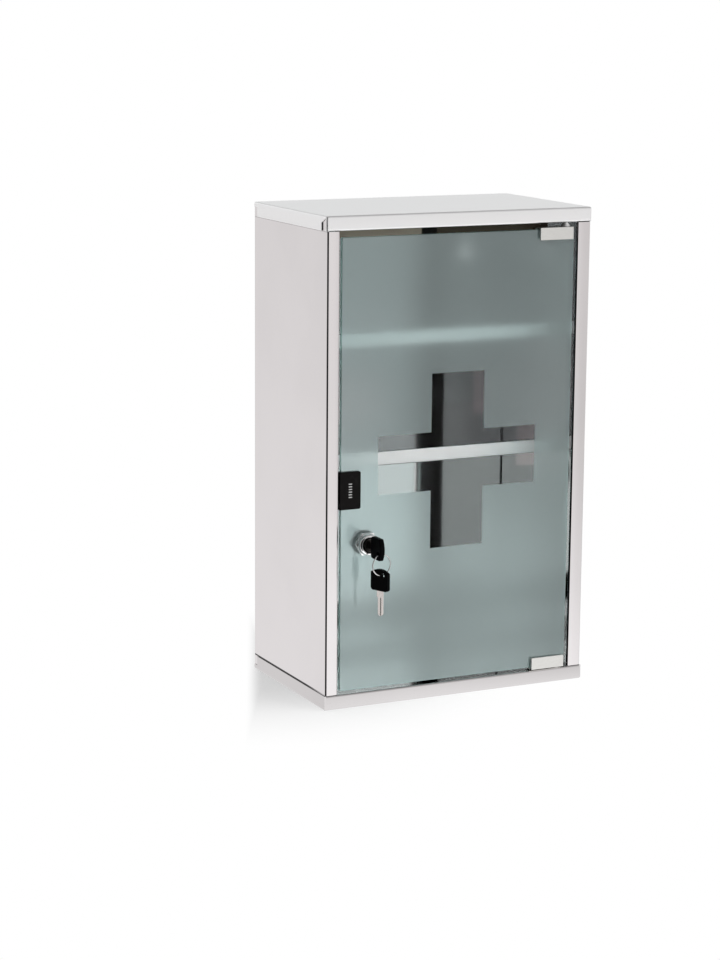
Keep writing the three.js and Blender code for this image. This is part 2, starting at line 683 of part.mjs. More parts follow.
function camScrew() {
  const under = CAM_FRONT + CAM + SEAT;
  const top = under + CAM_SCREW_HEAD;
  const body = turned([
    [0, under + 2 * SEAT - CAM_SCREW_LENGTH],
    [CAM_SCREW_R, under + 2 * SEAT - CAM_SCREW_LENGTH],
    [CAM_SCREW_R, under],
    [CAM_SCREW_HEAD_R, under],
    [CAM_SCREW_HEAD_R, top],
    [0, top],
  ], LOCK_X, LOCK_Z, SMALL_ROUND_SIDES);
  const slot = block(
    [LOCK_X - CAM_SCREW_SLOT / 2, LOCK_X + CAM_SCREW_SLOT / 2],
    [top - CAM_SCREW_HEAD / 2, top + OVERCUT],
    [LOCK_Z - CAM_SCREW_HEAD_R - OVERCUT, LOCK_Z + CAM_SCREW_HEAD_R + OVERCUT],
  );
  return cut(body, slot);
}

const gasketBack = GLASS_FRONT - SEAT;
const collarBack = gasketBack - GASKET - SEAT;
const threadR = BARREL_R + SEAT;
addPiece('lock_housing', lockHousing(), BRIGHT);
const collarY = [collarBack - COLLAR, collarBack];
const washerY = [GLASS_BACK + SEAT, GLASS_BACK + SEAT + WASHER];
const nutY = [NUT_FRONT, NUT_FRONT + NUT];
addPiece('lock_collar', ringAlongY(threadR, COLLAR_ACROSS_CORNERS / 2, collarY, HEX_SIDES), BRIGHT);
addPiece('lock_gasket', ringAlongY(threadR, GASKET_R, [gasketBack - GASKET, gasketBack]), RUBBER);
addPiece('lock_washer', ringAlongY(threadR, WASHER_R, washerY), RUBBER);
addPiece('lock_nut', ringAlongY(threadR, NUT_ACROSS_CORNERS / 2, nutY, HEX_SIDES), BRIGHT);
addPiece('lock_plug', lockPlug(), DARK_PLUG);
addPiece('lock_cam', lockCam(), STEEL);
addPiece('cam_screw', camScrew(), BRIGHT);

// Keys: drawn flat, head at negative y and blade towards positive y, then placed

function keyHead() {
  const half = KEY_HEAD_WIDTH / 2;
  const shoulder = -KEY_HEAD_LENGTH + KEY_HEAD_CROWN;
  const outline = new THREE.Shape();
  outline.absarc(half - KEY_HEAD_CORNER, -KEY_HEAD_CORNER, KEY_HEAD_CORNER, 0, Math.PI / 2);
  outline.absarc(-half + KEY_HEAD_CORNER, -KEY_HEAD_CORNER, KEY_HEAD_CORNER, Math.PI / 2, Math.PI);
  outline.lineTo(-half, shoulder);
  outline.quadraticCurveTo(0, -KEY_HEAD_LENGTH - KEY_HEAD_CROWN, half, shoulder);
  const hole = circle(KEY_HOLE_OFFSET, -KEY_HEAD_LENGTH + KEY_HOLE_FROM_END, KEY_HOLE_R);
  outline.holes.push(hole);
  return push(outline, KEY_HEAD - 2 * KEY_HEAD_EDGE, {
    curveSegments: 8,
    bevelEnabled: true,
    bevelSegments: 1,
    bevelSize: KEY_HEAD_EDGE,
    bevelOffset: -KEY_HEAD_EDGE,
    bevelThickness: KEY_HEAD_EDGE,
  }).translate(0, 0, -KEY_HEAD / 2 + KEY_HEAD_EDGE);
}

function keyBlade() {
  const half = BLADE_WIDTH / 2;
  const tipR = (BLADE_WIDTH - BLADE_SHOULDER) / 2;
  const outline = new THREE.Shape();
  outline.moveTo(-half, SEAT);
  outline.lineTo(half, SEAT);
  outline.absarc(half - tipR, BLADE_LENGTH - tipR, tipR, 0, Math.PI);
  outline.lineTo(-half + BLADE_SHOULDER, BLADE_NECK);
  outline.lineTo(-half, BLADE_NECK);
  const body = push(outline, BLADE).translate(0, 0, -BLADE / 2);
  const grooveX = [half / 2 - BLADE_GROOVE_WIDTH / 2, half / 2 + BLADE_GROOVE_WIDTH / 2];
  const grooveY = [BLADE_NECK, BLADE_LENGTH + OVERCUT];
  const grooves = [-1, 1].map((face) => {
    const z = [face * (BLADE / 2 - BLADE_GROOVE_DEPTH), face * (BLADE / 2 + OVERCUT)].sort((a, b) => a - b);
    return block(grooveX, grooveY, z);
  });
  return cut(body, ...grooves);
}

const key = new THREE.Group();
key.position.set(LOCK_X, KEY_HEAD_INNER, LOCK_Z);
key.rotation.y = Math.PI / 2;
addPiece('key_head', keyHead(), BLACK_PLASTIC, key);
addPiece('key_blade', keyBlade(), BRIGHT, key);
cabinet.add(key);

// The ring's wire lies in the bottom of the key's hole, and the spare key hangs on the wire
const wireDrop = KEY_HOLE_R - RING_WIRE_R - RING_PLAY;
const ringAcross = X_AXIS.clone().applyAxisAngle(Z_AXIS, RING_YAW);
const ringCentre = new THREE.Vector3(
  LOCK_X,
  KEY_HEAD_INNER - KEY_HEAD_LENGTH + KEY_HOLE_FROM_END,
  LOCK_Z - KEY_HOLE_OFFSET - wireDrop,
)
  .addScaledVector(ringAcross, RING_R * Math.sin(RING_LEAN))
  .addScaledVector(Z_AXIS, -RING_R * Math.cos(RING_LEAN));
const keyRing = addPiece(
  'key_ring',
  new THREE.TorusGeometry(RING_R, RING_WIRE_R, 6, 36).rotateX(Math.PI / 2),
  BRIGHT,
);
keyRing.position.copy(ringCentre);
keyRing.rotation.z = RING_YAW;

const hangPoint = ringCentre.clone()
  .addScaledVector(ringAcross, RING_R * Math.sin(SPARE_ON_RING))
  .addScaledVector(Z_AXIS, -RING_R * Math.cos(SPARE_ON_RING) - wireDrop);
const spareAcross = X_AXIS.clone().applyAxisAngle(Z_AXIS, SPARE_YAW);
const spareDown = Z_AXIS.clone().negate();
const spareFace = spareAcross.clone().cross(spareDown);
const spareKey = new THREE.Group();
spareKey.quaternion.setFromRotationMatrix(new THREE.Matrix4().makeBasis(spareAcross, spareDown, spareFace));
spareKey.position.copy(hangPoint)
  .addScaledVector(spareAcross, -KEY_HOLE_OFFSET)
  .addScaledVector(spareDown, KEY_HEAD_LENGTH - KEY_HOLE_FROM_END);
addPiece('spare_key_head', keyHead(), BLACK_PLASTIC, spareKey);
addPiece('spare_key_blade', keyBlade(), BRIGHT, spareKey);
cabinet.add(spareKey);

// Push latch: a sprung plunger with a magnet in its nose, on an angle bracket from the side wall

class Helix extends THREE.Curve {
  constructor(radius, turns, start, end) {
    super();
    Object.assign(this, { radius, turns, start, end });
  }

  getPoint(t, target = new THREE.Vector3()) {
    const angle = 2 * Math.PI * this.turns * t;
    const y = THREE.MathUtils.lerp(this.start, this.end, t);
    return target.set(this.radius * Math.cos(angle), y, this.radius * Math.sin(angle));
  }
}

function latchBracket() {
  const y = [LATCH_MIDDLE - BRACKET_LENGTH / 2, LATCH_MIDDLE + BRACKET_LENGTH / 2];
  const wall = -WALL_INSIDE + SEAT;
  const low = BRACKET_TOP - BRACKET;
  const shelfPlate = block([wall, LATCH_X + LATCH_WIDTH / 2], y, [low, BRACKET_TOP]);
  const foot = block([wall, wall + BRACKET], y, [BRACKET_TOP - BRACKET_FOOT, BRACKET_TOP]);
  const holes = latchScrewYs().map((screwY) => rodAlongZ(
    LATCH_SCREW_R + SEAT, LATCH_X, screwY, [low - OVERCUT, BRACKET_TOP + OVERCUT], SMALL_ROUND_SIDES,
  ));
  return cut(join(shelfPlate, foot), ...holes);
}

function latchScrewYs() {
  return [-1, 1].map((end) => LATCH_MIDDLE + (end * LATCH_SCREW_SPACING) / 2);
}

function latchHousing() {
  const body = roundedBlock(
    [LATCH_X - LATCH_WIDTH / 2, LATCH_X + LATCH_WIDTH / 2],
    [LATCH_FRONT, LATCH_BACK],
    [LATCH_UNDERSIDE, LATCH_UNDERSIDE + LATCH_HEIGHT],
    LATCH_CORNER,
  );
  const bore = [LATCH_FRONT - OVERCUT, LATCH_BACK - LATCH_BACK_WALL];
  const pilots = latchScrewYs().map((screwY) => rodAlongZ(
    LATCH_SCREW_R + SEAT,
    LATCH_X,
    screwY,
    [LATCH_UNDERSIDE - OVERCUT, CLIP_Z - PLUNGER_R],
    SMALL_ROUND_SIDES,
  ));
  return cut(body, rodAlongY(PLUNGER_R + SEAT, LATCH_X, CLIP_Z, bore), ...pilots);
}

function latchPlunger() {
  const end = LATCH_FRONT + PLUNGER_IN_LATCH;
  const magnetPocket = [PLUNGER_TIP - OVERCUT, PLUNGER_TIP + MAGNET + SEAT];
  const springPocket = [end - SPRING_POCKET, end + OVERCUT];
  return cut(
    rodAlongY(PLUNGER_R, LATCH_X, CLIP_Z, [PLUNGER_TIP, end]),
    rodAlongY(MAGNET_R + SEAT, LATCH_X, CLIP_Z, magnetPocket),
    rodAlongY(PLUNGER_R - PLUNGER_WALL, LATCH_X, CLIP_Z, springPocket, SMALL_ROUND_SIDES),
  );
}

function latchSpring() {
  const start = LATCH_FRONT + PLUNGER_IN_LATCH - SPRING_POCKET + SPRING_WIRE_R + SEAT;
  const end = LATCH_BACK - LATCH_BACK_WALL - SPRING_WIRE_R - SEAT;
  const wire = new THREE.Shape();
  wire.absarc(0, 0, SPRING_WIRE_R, 0, 2 * Math.PI);
  return new THREE.ExtrudeGeometry(wire, {
    steps: SPRING_TURNS * 8,
    curveSegments: 3,
    bevelEnabled: false,
    extrudePath: new Helix(SPRING_R, SPRING_TURNS, start, end),
  }).translate(LATCH_X, 0, CLIP_Z);
}

function latchScrew(screwY) {
  const under = BRACKET_TOP - BRACKET - SEAT;
  const shank = [under, LATCH_UNDERSIDE + LATCH_SCREW_BITE - SEAT];
  const head = [under - LATCH_SCREW_HEAD, under];
  return join(
    rodAlongZ(LATCH_SCREW_HEAD_R, LATCH_X, screwY, head, SMALL_ROUND_SIDES),
    rodAlongZ(LATCH_SCREW_R, LATCH_X, screwY, [shank[0] - SEAT, shank[1]], SMALL_ROUND_SIDES),
  );
}

addPiece('latch_bracket', latchBracket(), STEEL);
addPiece('latch_housing', latchHousing(), GREY_PLASTIC);
addPiece('latch_plunger', latchPlunger(), GREY_PLASTIC);
const magnetY = [PLUNGER_TIP, PLUNGER_TIP + MAGNET];
addPiece('latch_magnet', rodAlongY(MAGNET_R, LATCH_X, CLIP_Z, magnetY), MAGNET_GREY);
addPiece('latch_spring', latchSpring(), BRIGHT);
latchScrewYs().forEach((screwY, i) => addPiece(`latch_screw_${i + 1}`, latchScrew(screwY), BRIGHT));

export default cabinet;
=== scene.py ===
"""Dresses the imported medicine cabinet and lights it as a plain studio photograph."""

from __future__ import annotations

import json
import logging
import math
from dataclasses import dataclass, field, replace
from enum import Enum
from typing import Optional, Union

import bmesh
import bpy
from mathutils import Matrix, Vector

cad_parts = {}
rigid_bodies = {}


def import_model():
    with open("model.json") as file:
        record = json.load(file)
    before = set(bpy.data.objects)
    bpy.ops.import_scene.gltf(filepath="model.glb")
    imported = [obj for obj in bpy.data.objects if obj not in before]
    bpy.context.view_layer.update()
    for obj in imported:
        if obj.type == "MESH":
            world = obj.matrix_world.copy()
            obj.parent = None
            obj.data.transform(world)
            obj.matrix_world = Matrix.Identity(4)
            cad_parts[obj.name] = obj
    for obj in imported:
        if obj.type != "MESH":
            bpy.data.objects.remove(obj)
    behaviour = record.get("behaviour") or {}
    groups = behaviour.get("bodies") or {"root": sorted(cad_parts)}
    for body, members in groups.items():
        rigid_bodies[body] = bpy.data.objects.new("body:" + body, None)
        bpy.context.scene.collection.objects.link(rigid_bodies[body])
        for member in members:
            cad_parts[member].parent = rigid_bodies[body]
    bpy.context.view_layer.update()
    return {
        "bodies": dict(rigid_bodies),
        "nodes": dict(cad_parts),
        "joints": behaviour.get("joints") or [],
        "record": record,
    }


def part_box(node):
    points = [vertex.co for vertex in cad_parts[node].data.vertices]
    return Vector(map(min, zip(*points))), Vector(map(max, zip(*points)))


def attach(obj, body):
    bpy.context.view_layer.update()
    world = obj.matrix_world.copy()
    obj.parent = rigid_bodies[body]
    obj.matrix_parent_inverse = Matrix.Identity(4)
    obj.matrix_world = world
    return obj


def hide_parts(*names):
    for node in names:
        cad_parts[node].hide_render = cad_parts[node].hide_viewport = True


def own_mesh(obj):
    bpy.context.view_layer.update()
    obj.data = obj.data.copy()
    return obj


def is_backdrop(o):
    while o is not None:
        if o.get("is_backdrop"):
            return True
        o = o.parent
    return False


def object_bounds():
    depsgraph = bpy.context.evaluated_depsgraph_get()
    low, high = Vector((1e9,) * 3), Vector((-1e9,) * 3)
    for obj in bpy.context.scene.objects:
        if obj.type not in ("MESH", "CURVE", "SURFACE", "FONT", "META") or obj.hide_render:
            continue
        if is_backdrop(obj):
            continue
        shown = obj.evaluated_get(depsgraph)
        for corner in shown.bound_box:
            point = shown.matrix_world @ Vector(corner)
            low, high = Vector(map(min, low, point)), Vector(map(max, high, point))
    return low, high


LOG = logging.getLogger("cabinet")
MM = 0.001
NOISE_MIDDLE = 0.5
SOFT_DETAIL = 2.0
FINE_DETAIL = 3.0
EDGE_BLUR = 0.1 * MM

Colour = tuple[float, float, float, float]
Point = tuple[float, float, float]
# Where a smooth change starts, and where it is full.
Band = tuple[float, float]
Shape = bmesh.types.BMesh
Line = list[Union[bmesh.types.BMVert, bmesh.types.BMEdge]]

STEEL: Colour = (0.68, 0.65, 0.652, 1.0)


class Body(str, Enum):
    """The rigid bodies that pieces ride on."""

    CARCASS = "carcass"
    PLUNGER = "push_plunger"
    DOOR = "door"
    PLUG = "plug"
    KEY = "key"
    RING = "ring"
    SPARE_KEY = "spare_key"


class Slot(str, Enum):
    """The record's material slots."""

    SHEET = "stainless_sheet"
    GLASS = "frosted_glass"
    SATIN = "hinge_satin"
    BRIGHT = "bright_metal"
    PLUG = "lock_plug_metal"
    COAT = "black_coat"
    KEY = "key_plastic"
    NYLON = "nylon"
    RUBBER = "rubber"
    LATCH = "latch_plastic"
    MAGNET = "magnet"


class Axis(Enum):
    """A direction that a turned piece lies along."""

    DEPTH = (0.0, 1.0, 0.0)
    UP = (0.0, 0.0, 1.0)
    DOWN = (0.0, 0.0, -1.0)


class Value:
    """A node's output that can be used in Python arithmetic."""

    def __init__(self, graph: Graph, socket: bpy.types.NodeSocket) -> None:
        """Keeps the socket and the graph that new nodes go into."""
        self.graph = graph
        self.socket = socket

    def __add__(self, other: Operand) -> Value:
        """Adds."""
        return self.graph.math("ADD", self, other)

    __radd__ = __add__

    def __sub__(self, other: Operand) -> Value:
        """Subtracts."""
        return self.graph.math("SUBTRACT", self, other)

    def __rsub__(self, other: Operand) -> Value:
        """Subtracts from a number."""
        return self.graph.math("SUBTRACT", other, self)

    def __mul__(self, other: Operand) -> Value:
        """Multiplies."""
        return self.graph.math("MULTIPLY", self, other)

    __rmul__ = __mul__

    def __abs__(self) -> Value:
        """Drops the sign."""
        return self.graph.math("ABSOLUTE", self)


Operand = Union[Value, float]
Feed = Union[Value, float, Colour, Point]


class Graph:
    """Makes and links the nodes of one material or world."""

    def __init__(self, tree: bpy.types.NodeTree) -> None:
        """Takes over a node tree and empties it."""
        self.tree = tree
        tree.nodes.clear()

    def node(
        self,
        kind: str,
        settings: Optional[dict[str, object]] = None,
        inputs: Optional[dict[Union[str, int], Feed]] = None,
    ) -> bpy.types.Node:
        """Adds one node.

        Args:
            kind: Blender's name for the node's type.
            settings: The node's own settings, set first.
            inputs: Values or links of its sockets.

        Returns:
            The new node.
        """
        made = self.tree.nodes.new(kind)
        for name, setting in (settings or {}).items():
            setattr(made, name, setting)
        for key, feed in (inputs or {}).items():
            if isinstance(feed, Value):
                self.tree.links.new(feed.socket, made.inputs[key])
            else:
                made.inputs[key].default_value = feed
        return made

    def out(self, made: bpy.types.Node, output: Union[str, int] = 0) -> Value:
        """Wraps one of a node's outputs."""
        return Value(self, made.outputs[output])

    def math(self, operation: str, *operands: Operand) -> Value:
        """Adds a Math node on these operands."""
        inputs = dict(enumerate(operands))
        return self.out(self.node("ShaderNodeMath", {"operation": operation}, inputs))

    def most(self, first: Operand, second: Operand) -> Value:
        """The larger of two values."""
        return self.math("MAXIMUM", first, second)

    def smooth(self, value: Value, start: float, full: float) -> Value:
        """Goes smoothly from 0 at the start to 1 where it is full."""
        inputs = {"Value": value, "From Min": start, "From Max": full}
        return self.out(self.node("ShaderNodeMapRange", {"interpolation_type": "SMOOTHSTEP"}, inputs))

    def below(self, value: Value, limit: float, blur: float = EDGE_BLUR) -> Value:
        """One below the limit and nothing above it."""
        return self.smooth(value, limit + blur, limit - blur)

    def mix(self, factor: Operand, first: Feed, second: Feed) -> Value:
        """Mixes two colours, through the Mix node's colour sockets."""
        made = self.node("ShaderNodeMix", {"data_type": "RGBA"}, {0: factor, 6: first, 7: second})
        return self.out(made, 2)

    def place(self) -> Value:
        """The point being shaded, in the object's own metres."""
        return self.out(self.node("ShaderNodeTexCoord"), "Object")

    def mapped(self, scale: Point = (1.0, 1.0, 1.0), centre: Point = (0.0, 0.0, 0.0)) -> Value:
        """The point being shaded, scaled along each axis and then counted from a centre."""
        inputs = {"Vector": self.place(), "Scale": scale, "Location": tuple(-part for part in centre)}
        return self.out(self.node("ShaderNodeMapping", None, inputs))

    def split(self, vector: Value) -> tuple[Value, Value, Value]:
        """The three parts of a vector."""
        parts = self.node("ShaderNodeSeparateXYZ", None, {"Vector": vector})
        return self.out(parts, 0), self.out(parts, 1), self.out(parts, 2)

    def noise(self, vector: Value, scale: float, detail: float = SOFT_DETAIL) -> Value:
        """Fractal noise from 0 to 1."""
        inputs = {"Vector": vector, "Scale": scale, "Detail": detail}
        return self.out(self.node("ShaderNodeTexNoise", None, inputs), "Fac")

    def dot(self, vector: Value, axis: Point) -> Value:
        """How far a vector reaches along an axis."""
        made = self.node("ShaderNodeVectorMath", {"operation": "DOT_PRODUCT"}, {0: vector, 1: axis})
        return self.out(made, "Value")

    def length(self, vector: Value) -> Value:
        """A vector's length."""
        made = self.node("ShaderNodeVectorMath", {"operation": "LENGTH"}, {0: vector})
        return self.out(made, "Value")

    def bump(self, height: Value, strength: float, distance: float) -> Value:
        """A normal tilted by a height in metres."""
        inputs = {"Height": height, "Strength": strength, "Distance": distance}
        return self.out(self.node("ShaderNodeBump", None, inputs))

    def surface(self, **sockets: Feed) -> Value:
        """A Principled shader. Underscores in socket names stand for spaces."""
        inputs = {name.replace("_", " "): feed for name, feed in sockets.items()}
        return self.out(self.node("ShaderNodeBsdfPrincipled", None, inputs))

    def blend(self, factor: Value, first: Value, second: Value) -> Value:
        """Mixes two shaders."""
        return self.out(self.node("ShaderNodeMixShader", None, {0: factor, 1: first, 2: second}))

    def ray(self, kind: str) -> Value:
        """One for rays of a kind, by Light Path's name for them."""
        return self.out(self.node("ShaderNodeLightPath"), kind)

    def seen_rays(self) -> Value:
        """One for rays that show the background, and nothing for those that light the part."""
        mirrored = self.most(self.ray("Is Glossy Ray"), self.ray("Is Transmission Ray"))
        return self.most(self.ray("Is Camera Ray"), mirrored)

    def show(self, shader: Value) -> None:
        """Sends a shader to the material's output."""
        self.node("ShaderNodeOutputMaterial", None, {"Surface": shader})


@dataclass(frozen=True)
class Finish:
    """A named finish that pieces share."""

    name: str
    slot: Slot
    colour: Colour

    def dulled(self, share: float) -> Colour:
        """The finish's colour, darkened to a share of itself."""
        return tuple(part * share for part in self.colour[:3]) + (1.0,)

    def shade(self, graph: Graph) -> Value:
        """Builds the finish's shader, in each finish's own way."""
        raise NotImplementedError

    def material(self) -> bpy.types.Material:
        """Makes the finish's material, once.

        Returns:
            The material.
        """
        made = bpy.data.materials.get(self.name)
        if made is None:
            made = bpy.data.materials.new(self.name)
            made.use_nodes = True
            graph = Graph(made.node_tree)
            graph.show(self.shade(graph))
        return made


@dataclass(frozen=True)
class Skin:
    """What changes over a sheet's surface."""

    tint: Value
    polish: Value
    metal: Feed = 1.0


@dataclass(frozen=True)
class SheetSteel(Finish):
    """Polished stainless sheet with a faint rolled grain and soft clouding."""

    roughness: float = 0.06
    cloud_scale: float = 9.0
    cloud_band: Band = (0.35, 0.7)
    cloud_share: float = 0.965
    cloud_roughness: float = 0.025
    grain_stretch: Point = (60.0, 60.0, 2.0)
    grain_scale: float = 24.0
    grain_roughness: float = 0.02
    grain_bump: float = 0.02
    grain_height: float = 0.02 * MM

    def worked(self, graph: Graph, place: Value, skin: Skin) -> Skin:
        """The skin of a plain sheet. Worked sheets change it."""
        return skin

    def shade(self, graph: Graph) -> Value:
        """Builds the finish's shader.

        Args:
            graph: Where its nodes go.

        Returns:
            The shader.
        """
        place = graph.place()
        cloud = graph.noise(place, self.cloud_scale, FINE_DETAIL)
        rolled = graph.noise(graph.mapped(self.grain_stretch), self.grain_scale)
        dull = graph.smooth(cloud, *self.cloud_band)
        tint = graph.mix(dull, self.colour, self.dulled(self.cloud_share))
        clouded = self.roughness + (cloud - NOISE_MIDDLE) * self.cloud_roughness
        polish = clouded + (rolled - NOISE_MIDDLE) * self.grain_roughness
        skin = self.worked(graph, place, Skin(tint, polish))
        return graph.surface(
            Base_Color=skin.tint,
            Metallic=skin.metal,
            Roughness=skin.polish,
            Normal=graph.bump(rolled, self.grain_bump, self.grain_height),
        )


@dataclass(frozen=True)
class WrapSheet(SheetSteel):
    """Sheet of the folded body, with painted shadow lines along its seams under the pans' edges.

    Inside it carries painted shade, darkest in the upper bays, and in the rear bends and low on the
    stiles' backs.
    """

    # Painted shadow colour of the lines along the seams and rear bends.
    seam_shadow_colour: Colour = (0.012, 0.011, 0.011, 1.0)
    # Painted shade inside: upper bays darkest, lower bay lighter, the hinge wall shaded on its own.
    upper_shade_colour: Colour = (0.32, 0.31, 0.315, 1.0)
    lower_shade_colour: Colour = (0.77, 0.75, 0.75, 1.0)
    hinge_upper_shade_colour: Colour = (0.45, 0.44, 0.44, 1.0)
    hinge_lower_shade_colour: Colour = (0.34, 0.33, 0.33, 1.0)
    shade_colour: Colour = (0.07, 0.068, 0.07, 1.0)
    half_width: float = 149.1 * MM
    front: float = -180.0 * MM
    sheet: float = 0.8 * MM
    bend: float = 2.6 * MM
    mouth: float = 235.0 * MM
    lower_bay: Band = (4.0 * MM, -12.0 * MM)
    hinge_front: Band = (-60.0 * MM, -110.0 * MM)
    low_line: float = 1.6 * MM
    low_fade: Band = (4.0 * MM, 45.0 * MM)
    low_least: float = 0.35
    high_line: float = 1.0 * MM
    high_strength: float = 0.3
    rear_strength: float = 0.14

    def line(self, graph: Graph, z: Value, low: float, width: float) -> Value:
        """One in a narrow level band and nothing outside it."""
        return graph.below(abs(z - (low + width / 2)), width / 2)

    def painted_interior_shade(self, graph: Graph, x: Value, y: Value, lower: Value) -> Value:
        """Colours the inside with painted shade, darkest in the upper bays, the hinge wall shaded in its
        own way.

        Args:
            graph: Where new nodes go.
            x: The place across the cabinet.
            y: The place along its depth.
            lower: One in the lower bay and nothing above it.

        Returns:
            The colour.
        """
        forward = graph.smooth(y, *self.hinge_front)
        hinge_upper = graph.mix(forward, self.upper_shade_colour, self.hinge_upper_shade_colour)
        hinge_wall = graph.smooth(x, self.half_width - self.bend, self.half_width - self.sheet)
        plain = graph.mix(lower, self.upper_shade_colour, self.lower_shade_colour)
        return graph.mix(hinge_wall, plain, graph.mix(lower, hinge_upper, self.hinge_lower_shade_colour))

    def shaded(self, graph: Graph, x: Value, y: Value, lower: Value) -> Value:
        """Finds the rear bends and the lower part of the stiles' backs, where darker shade is painted.

        Args:
            graph: Where new nodes go.
            x: The place across the cabinet.
            y: The place along its depth.
            lower: One in the lower bay and nothing above it.

        Returns:
            One on them and nothing elsewhere.
        """
        stile_back = graph.below(y, self.front + 2 * self.sheet)
        beside = 1.0 - graph.below(abs(x), self.half_width - self.bend)
        behind = 1.0 - graph.below(y, -self.bend)
        return graph.most(stile_back * lower, beside * behind)

    def seam_shadows(self, graph: Graph, y: Value, z: Value) -> Value:
        """Finds the painted shadow lines along the side walls' seams with the pans, and on their rear
        bends.

        Args:
            graph: Where new nodes go.
            y: The place along the cabinet's depth.
            z: The place up its height.

        Returns:
            How strong the painted shadow line is.
        """
        start, full = self.low_fade
        fade = graph.smooth(y, self.front + start, self.front + full)
        strength = self.low_least + (1.0 - self.low_least) * fade
        low = self.line(graph, z, -self.mouth, self.low_line) * strength
        high = self.line(graph, z, self.mouth - self.high_line, self.high_line) * self.high_strength
        rear = graph.smooth(y, -self.bend, -self.sheet / 2) * self.rear_strength
        return graph.most(graph.most(low, high), rear)

    def worked(self, graph: Graph, place: Value, skin: Skin) -> Skin:
        """Paints shade on the inside and shadow lines along the seams on the outside.

        Args:
            graph: Where new nodes go.
            place: The point being shaded.
            skin: The plain sheet's.

        Returns:
            The worked sheet's skin.
        """
        x, y, z = graph.split(place)
        half = self.sheet / 2
        across = graph.below(abs(x), self.half_width - half)
        behind_front = 1.0 - graph.below(y, self.front + half)
        inside = across * behind_front * graph.below(y, -half)
        lower = graph.smooth(z, *self.lower_bay)
        # Painted shade on the inside, then darker painted shade in the rear bends and low on the stiles'
        # backs.
        tint = graph.mix(inside, skin.tint, self.painted_interior_shade(graph, x, y, lower))
        tint = graph.mix(inside * self.shaded(graph, x, y, lower), tint, self.shade_colour)
        # Painted shadow lines along the seams under the pans' edges and on the rear bends.
        seam_shadows = (1.0 - across) * self.seam_shadows(graph, y, z)
        return replace(skin, tint=graph.mix(seam_shadows, tint, self.seam_shadow_colour))


@dataclass(frozen=True)
class BaseSheet(SheetSteel):
    """Sheet of the bottom pan, with painted shade on the cabinet's floor."""

    # Painted shade on the cabinet's floor.
    floor_shade_colour: Colour = (0.36, 0.35, 0.35, 1.0)
    floor_level: float = -249.4 * MM
    half_width: float = 147.0 * MM
    floor_front: float = -176.0 * MM
    blur: float = 0.2 * MM

    def worked(self, graph: Graph, place: Value, skin: Skin) -> Skin:
        """Paints shade on the floor.

        Args:
            graph: Where new nodes go.
            place: The point being shaded.
            skin: The plain sheet's.

        Returns:
            The worked sheet's skin.
        """
        x, y, z = graph.split(place)
        above = graph.smooth(z, self.floor_level, self.floor_level + self.blur)
        across = graph.smooth(abs(x), self.half_width + self.blur, self.half_width)
        behind = graph.smooth(y, self.floor_front - self.blur, self.floor_front)
        return replace(skin, tint=graph.mix(above * across * behind, skin.tint, self.floor_shade_colour))


@dataclass(frozen=True)
class LippedSheet(SheetSteel):
    """Polished sheet with a satin front lip."""

    lip_colour: Colour = (0.95, 0.94, 0.94, 1.0)
    lip_front: float = -125.0 * MM
    lip_depth: float = 0.9 * MM
    lip_dullness: float = 0.5
    lip_roughness: float = 0.5

    def worked(self, graph: Graph, place: Value, skin: Skin) -> Skin:
        """Dulls the lip and takes off its shine.

        Args:
            graph: Where new nodes go.
            place: The point being shaded.
            skin: The plain sheet's.

        Returns:
            The worked sheet's skin.
        """
        _, y, _ = graph.split(place)
        lip = graph.smooth(y, self.lip_front + self.lip_depth, self.lip_front + self.lip_depth / 2)
        return Skin(
            graph.mix(lip, skin.tint, self.lip_colour),
            skin.polish + lip * (self.lip_roughness - self.roughness),
            1.0 - lip * self.lip_dullness,
        )


@dataclass(frozen=True)
class BrushedMetal(Finish):
    """Metal with a brushed grain along one axis."""

    roughness: float = 0.3
    lines: Point = (4.0, 160.0, 160.0)
    line_scale: float = 40.0
    line_band: Band = (0.3, 0.75)
    line_share: float = 0.9
    line_roughness: float = 0.16
    line_bump: float = 0.12
    line_height: float = 0.03 * MM
    patch_scale: float = 90.0
    patch_roughness: float = 0.06

    def shade(self, graph: Graph) -> Value:
        """Builds the finish's shader.

        Args:
            graph: Where its nodes go.

        Returns:
            The shader.
        """
        brushed = graph.noise(graph.mapped(self.lines), self.line_scale, FINE_DETAIL)
        patch = graph.noise(graph.place(), self.patch_scale)
        dull = graph.smooth(brushed, *self.line_band)
        lined = self.roughness + (brushed - NOISE_MIDDLE) * self.line_roughness
        return graph.surface(
            Base_Color=graph.mix(dull, self.colour, self.dulled(self.line_share)),
            Metallic=1.0,
            Roughness=lined + (patch - NOISE_MIDDLE) * self.patch_roughness,
            Normal=graph.bump(brushed, self.line_bump, self.line_height),
        )


@dataclass(frozen=True)
class PlatedMetal(Finish):
    """Bright plating with fine handling marks."""

    roughness: float = 0.07
    mark_scale: float = 900.0
    mark_detail: float = 4.0
    mark_band: Band = (0.52, 0.72)
    mark_share: float = 0.88
    mark_roughness: float = 0.07
    haze_scale: float = 160.0
    haze_roughness: float = 0.05
    haze_bump: float = 0.04
    haze_height: float = 0.05 * MM

    def shade(self, graph: Graph) -> Value:
        """Builds the finish's shader.

        Args:
            graph: Where its nodes go.

        Returns:
            The shader.
        """
        place = graph.place()
        marks = graph.smooth(graph.noise(place, self.mark_scale, self.mark_detail), *self.mark_band)
        haze = graph.noise(place, self.haze_scale)
        return graph.surface(
            Base_Color=graph.mix(marks, self.colour, self.dulled(self.mark_share)),
            Metallic=1.0,
            Roughness=self.roughness + marks * self.mark_roughness + haze * self.haze_roughness,
            Normal=graph.bump(haze, self.haze_bump, self.haze_height),
        )


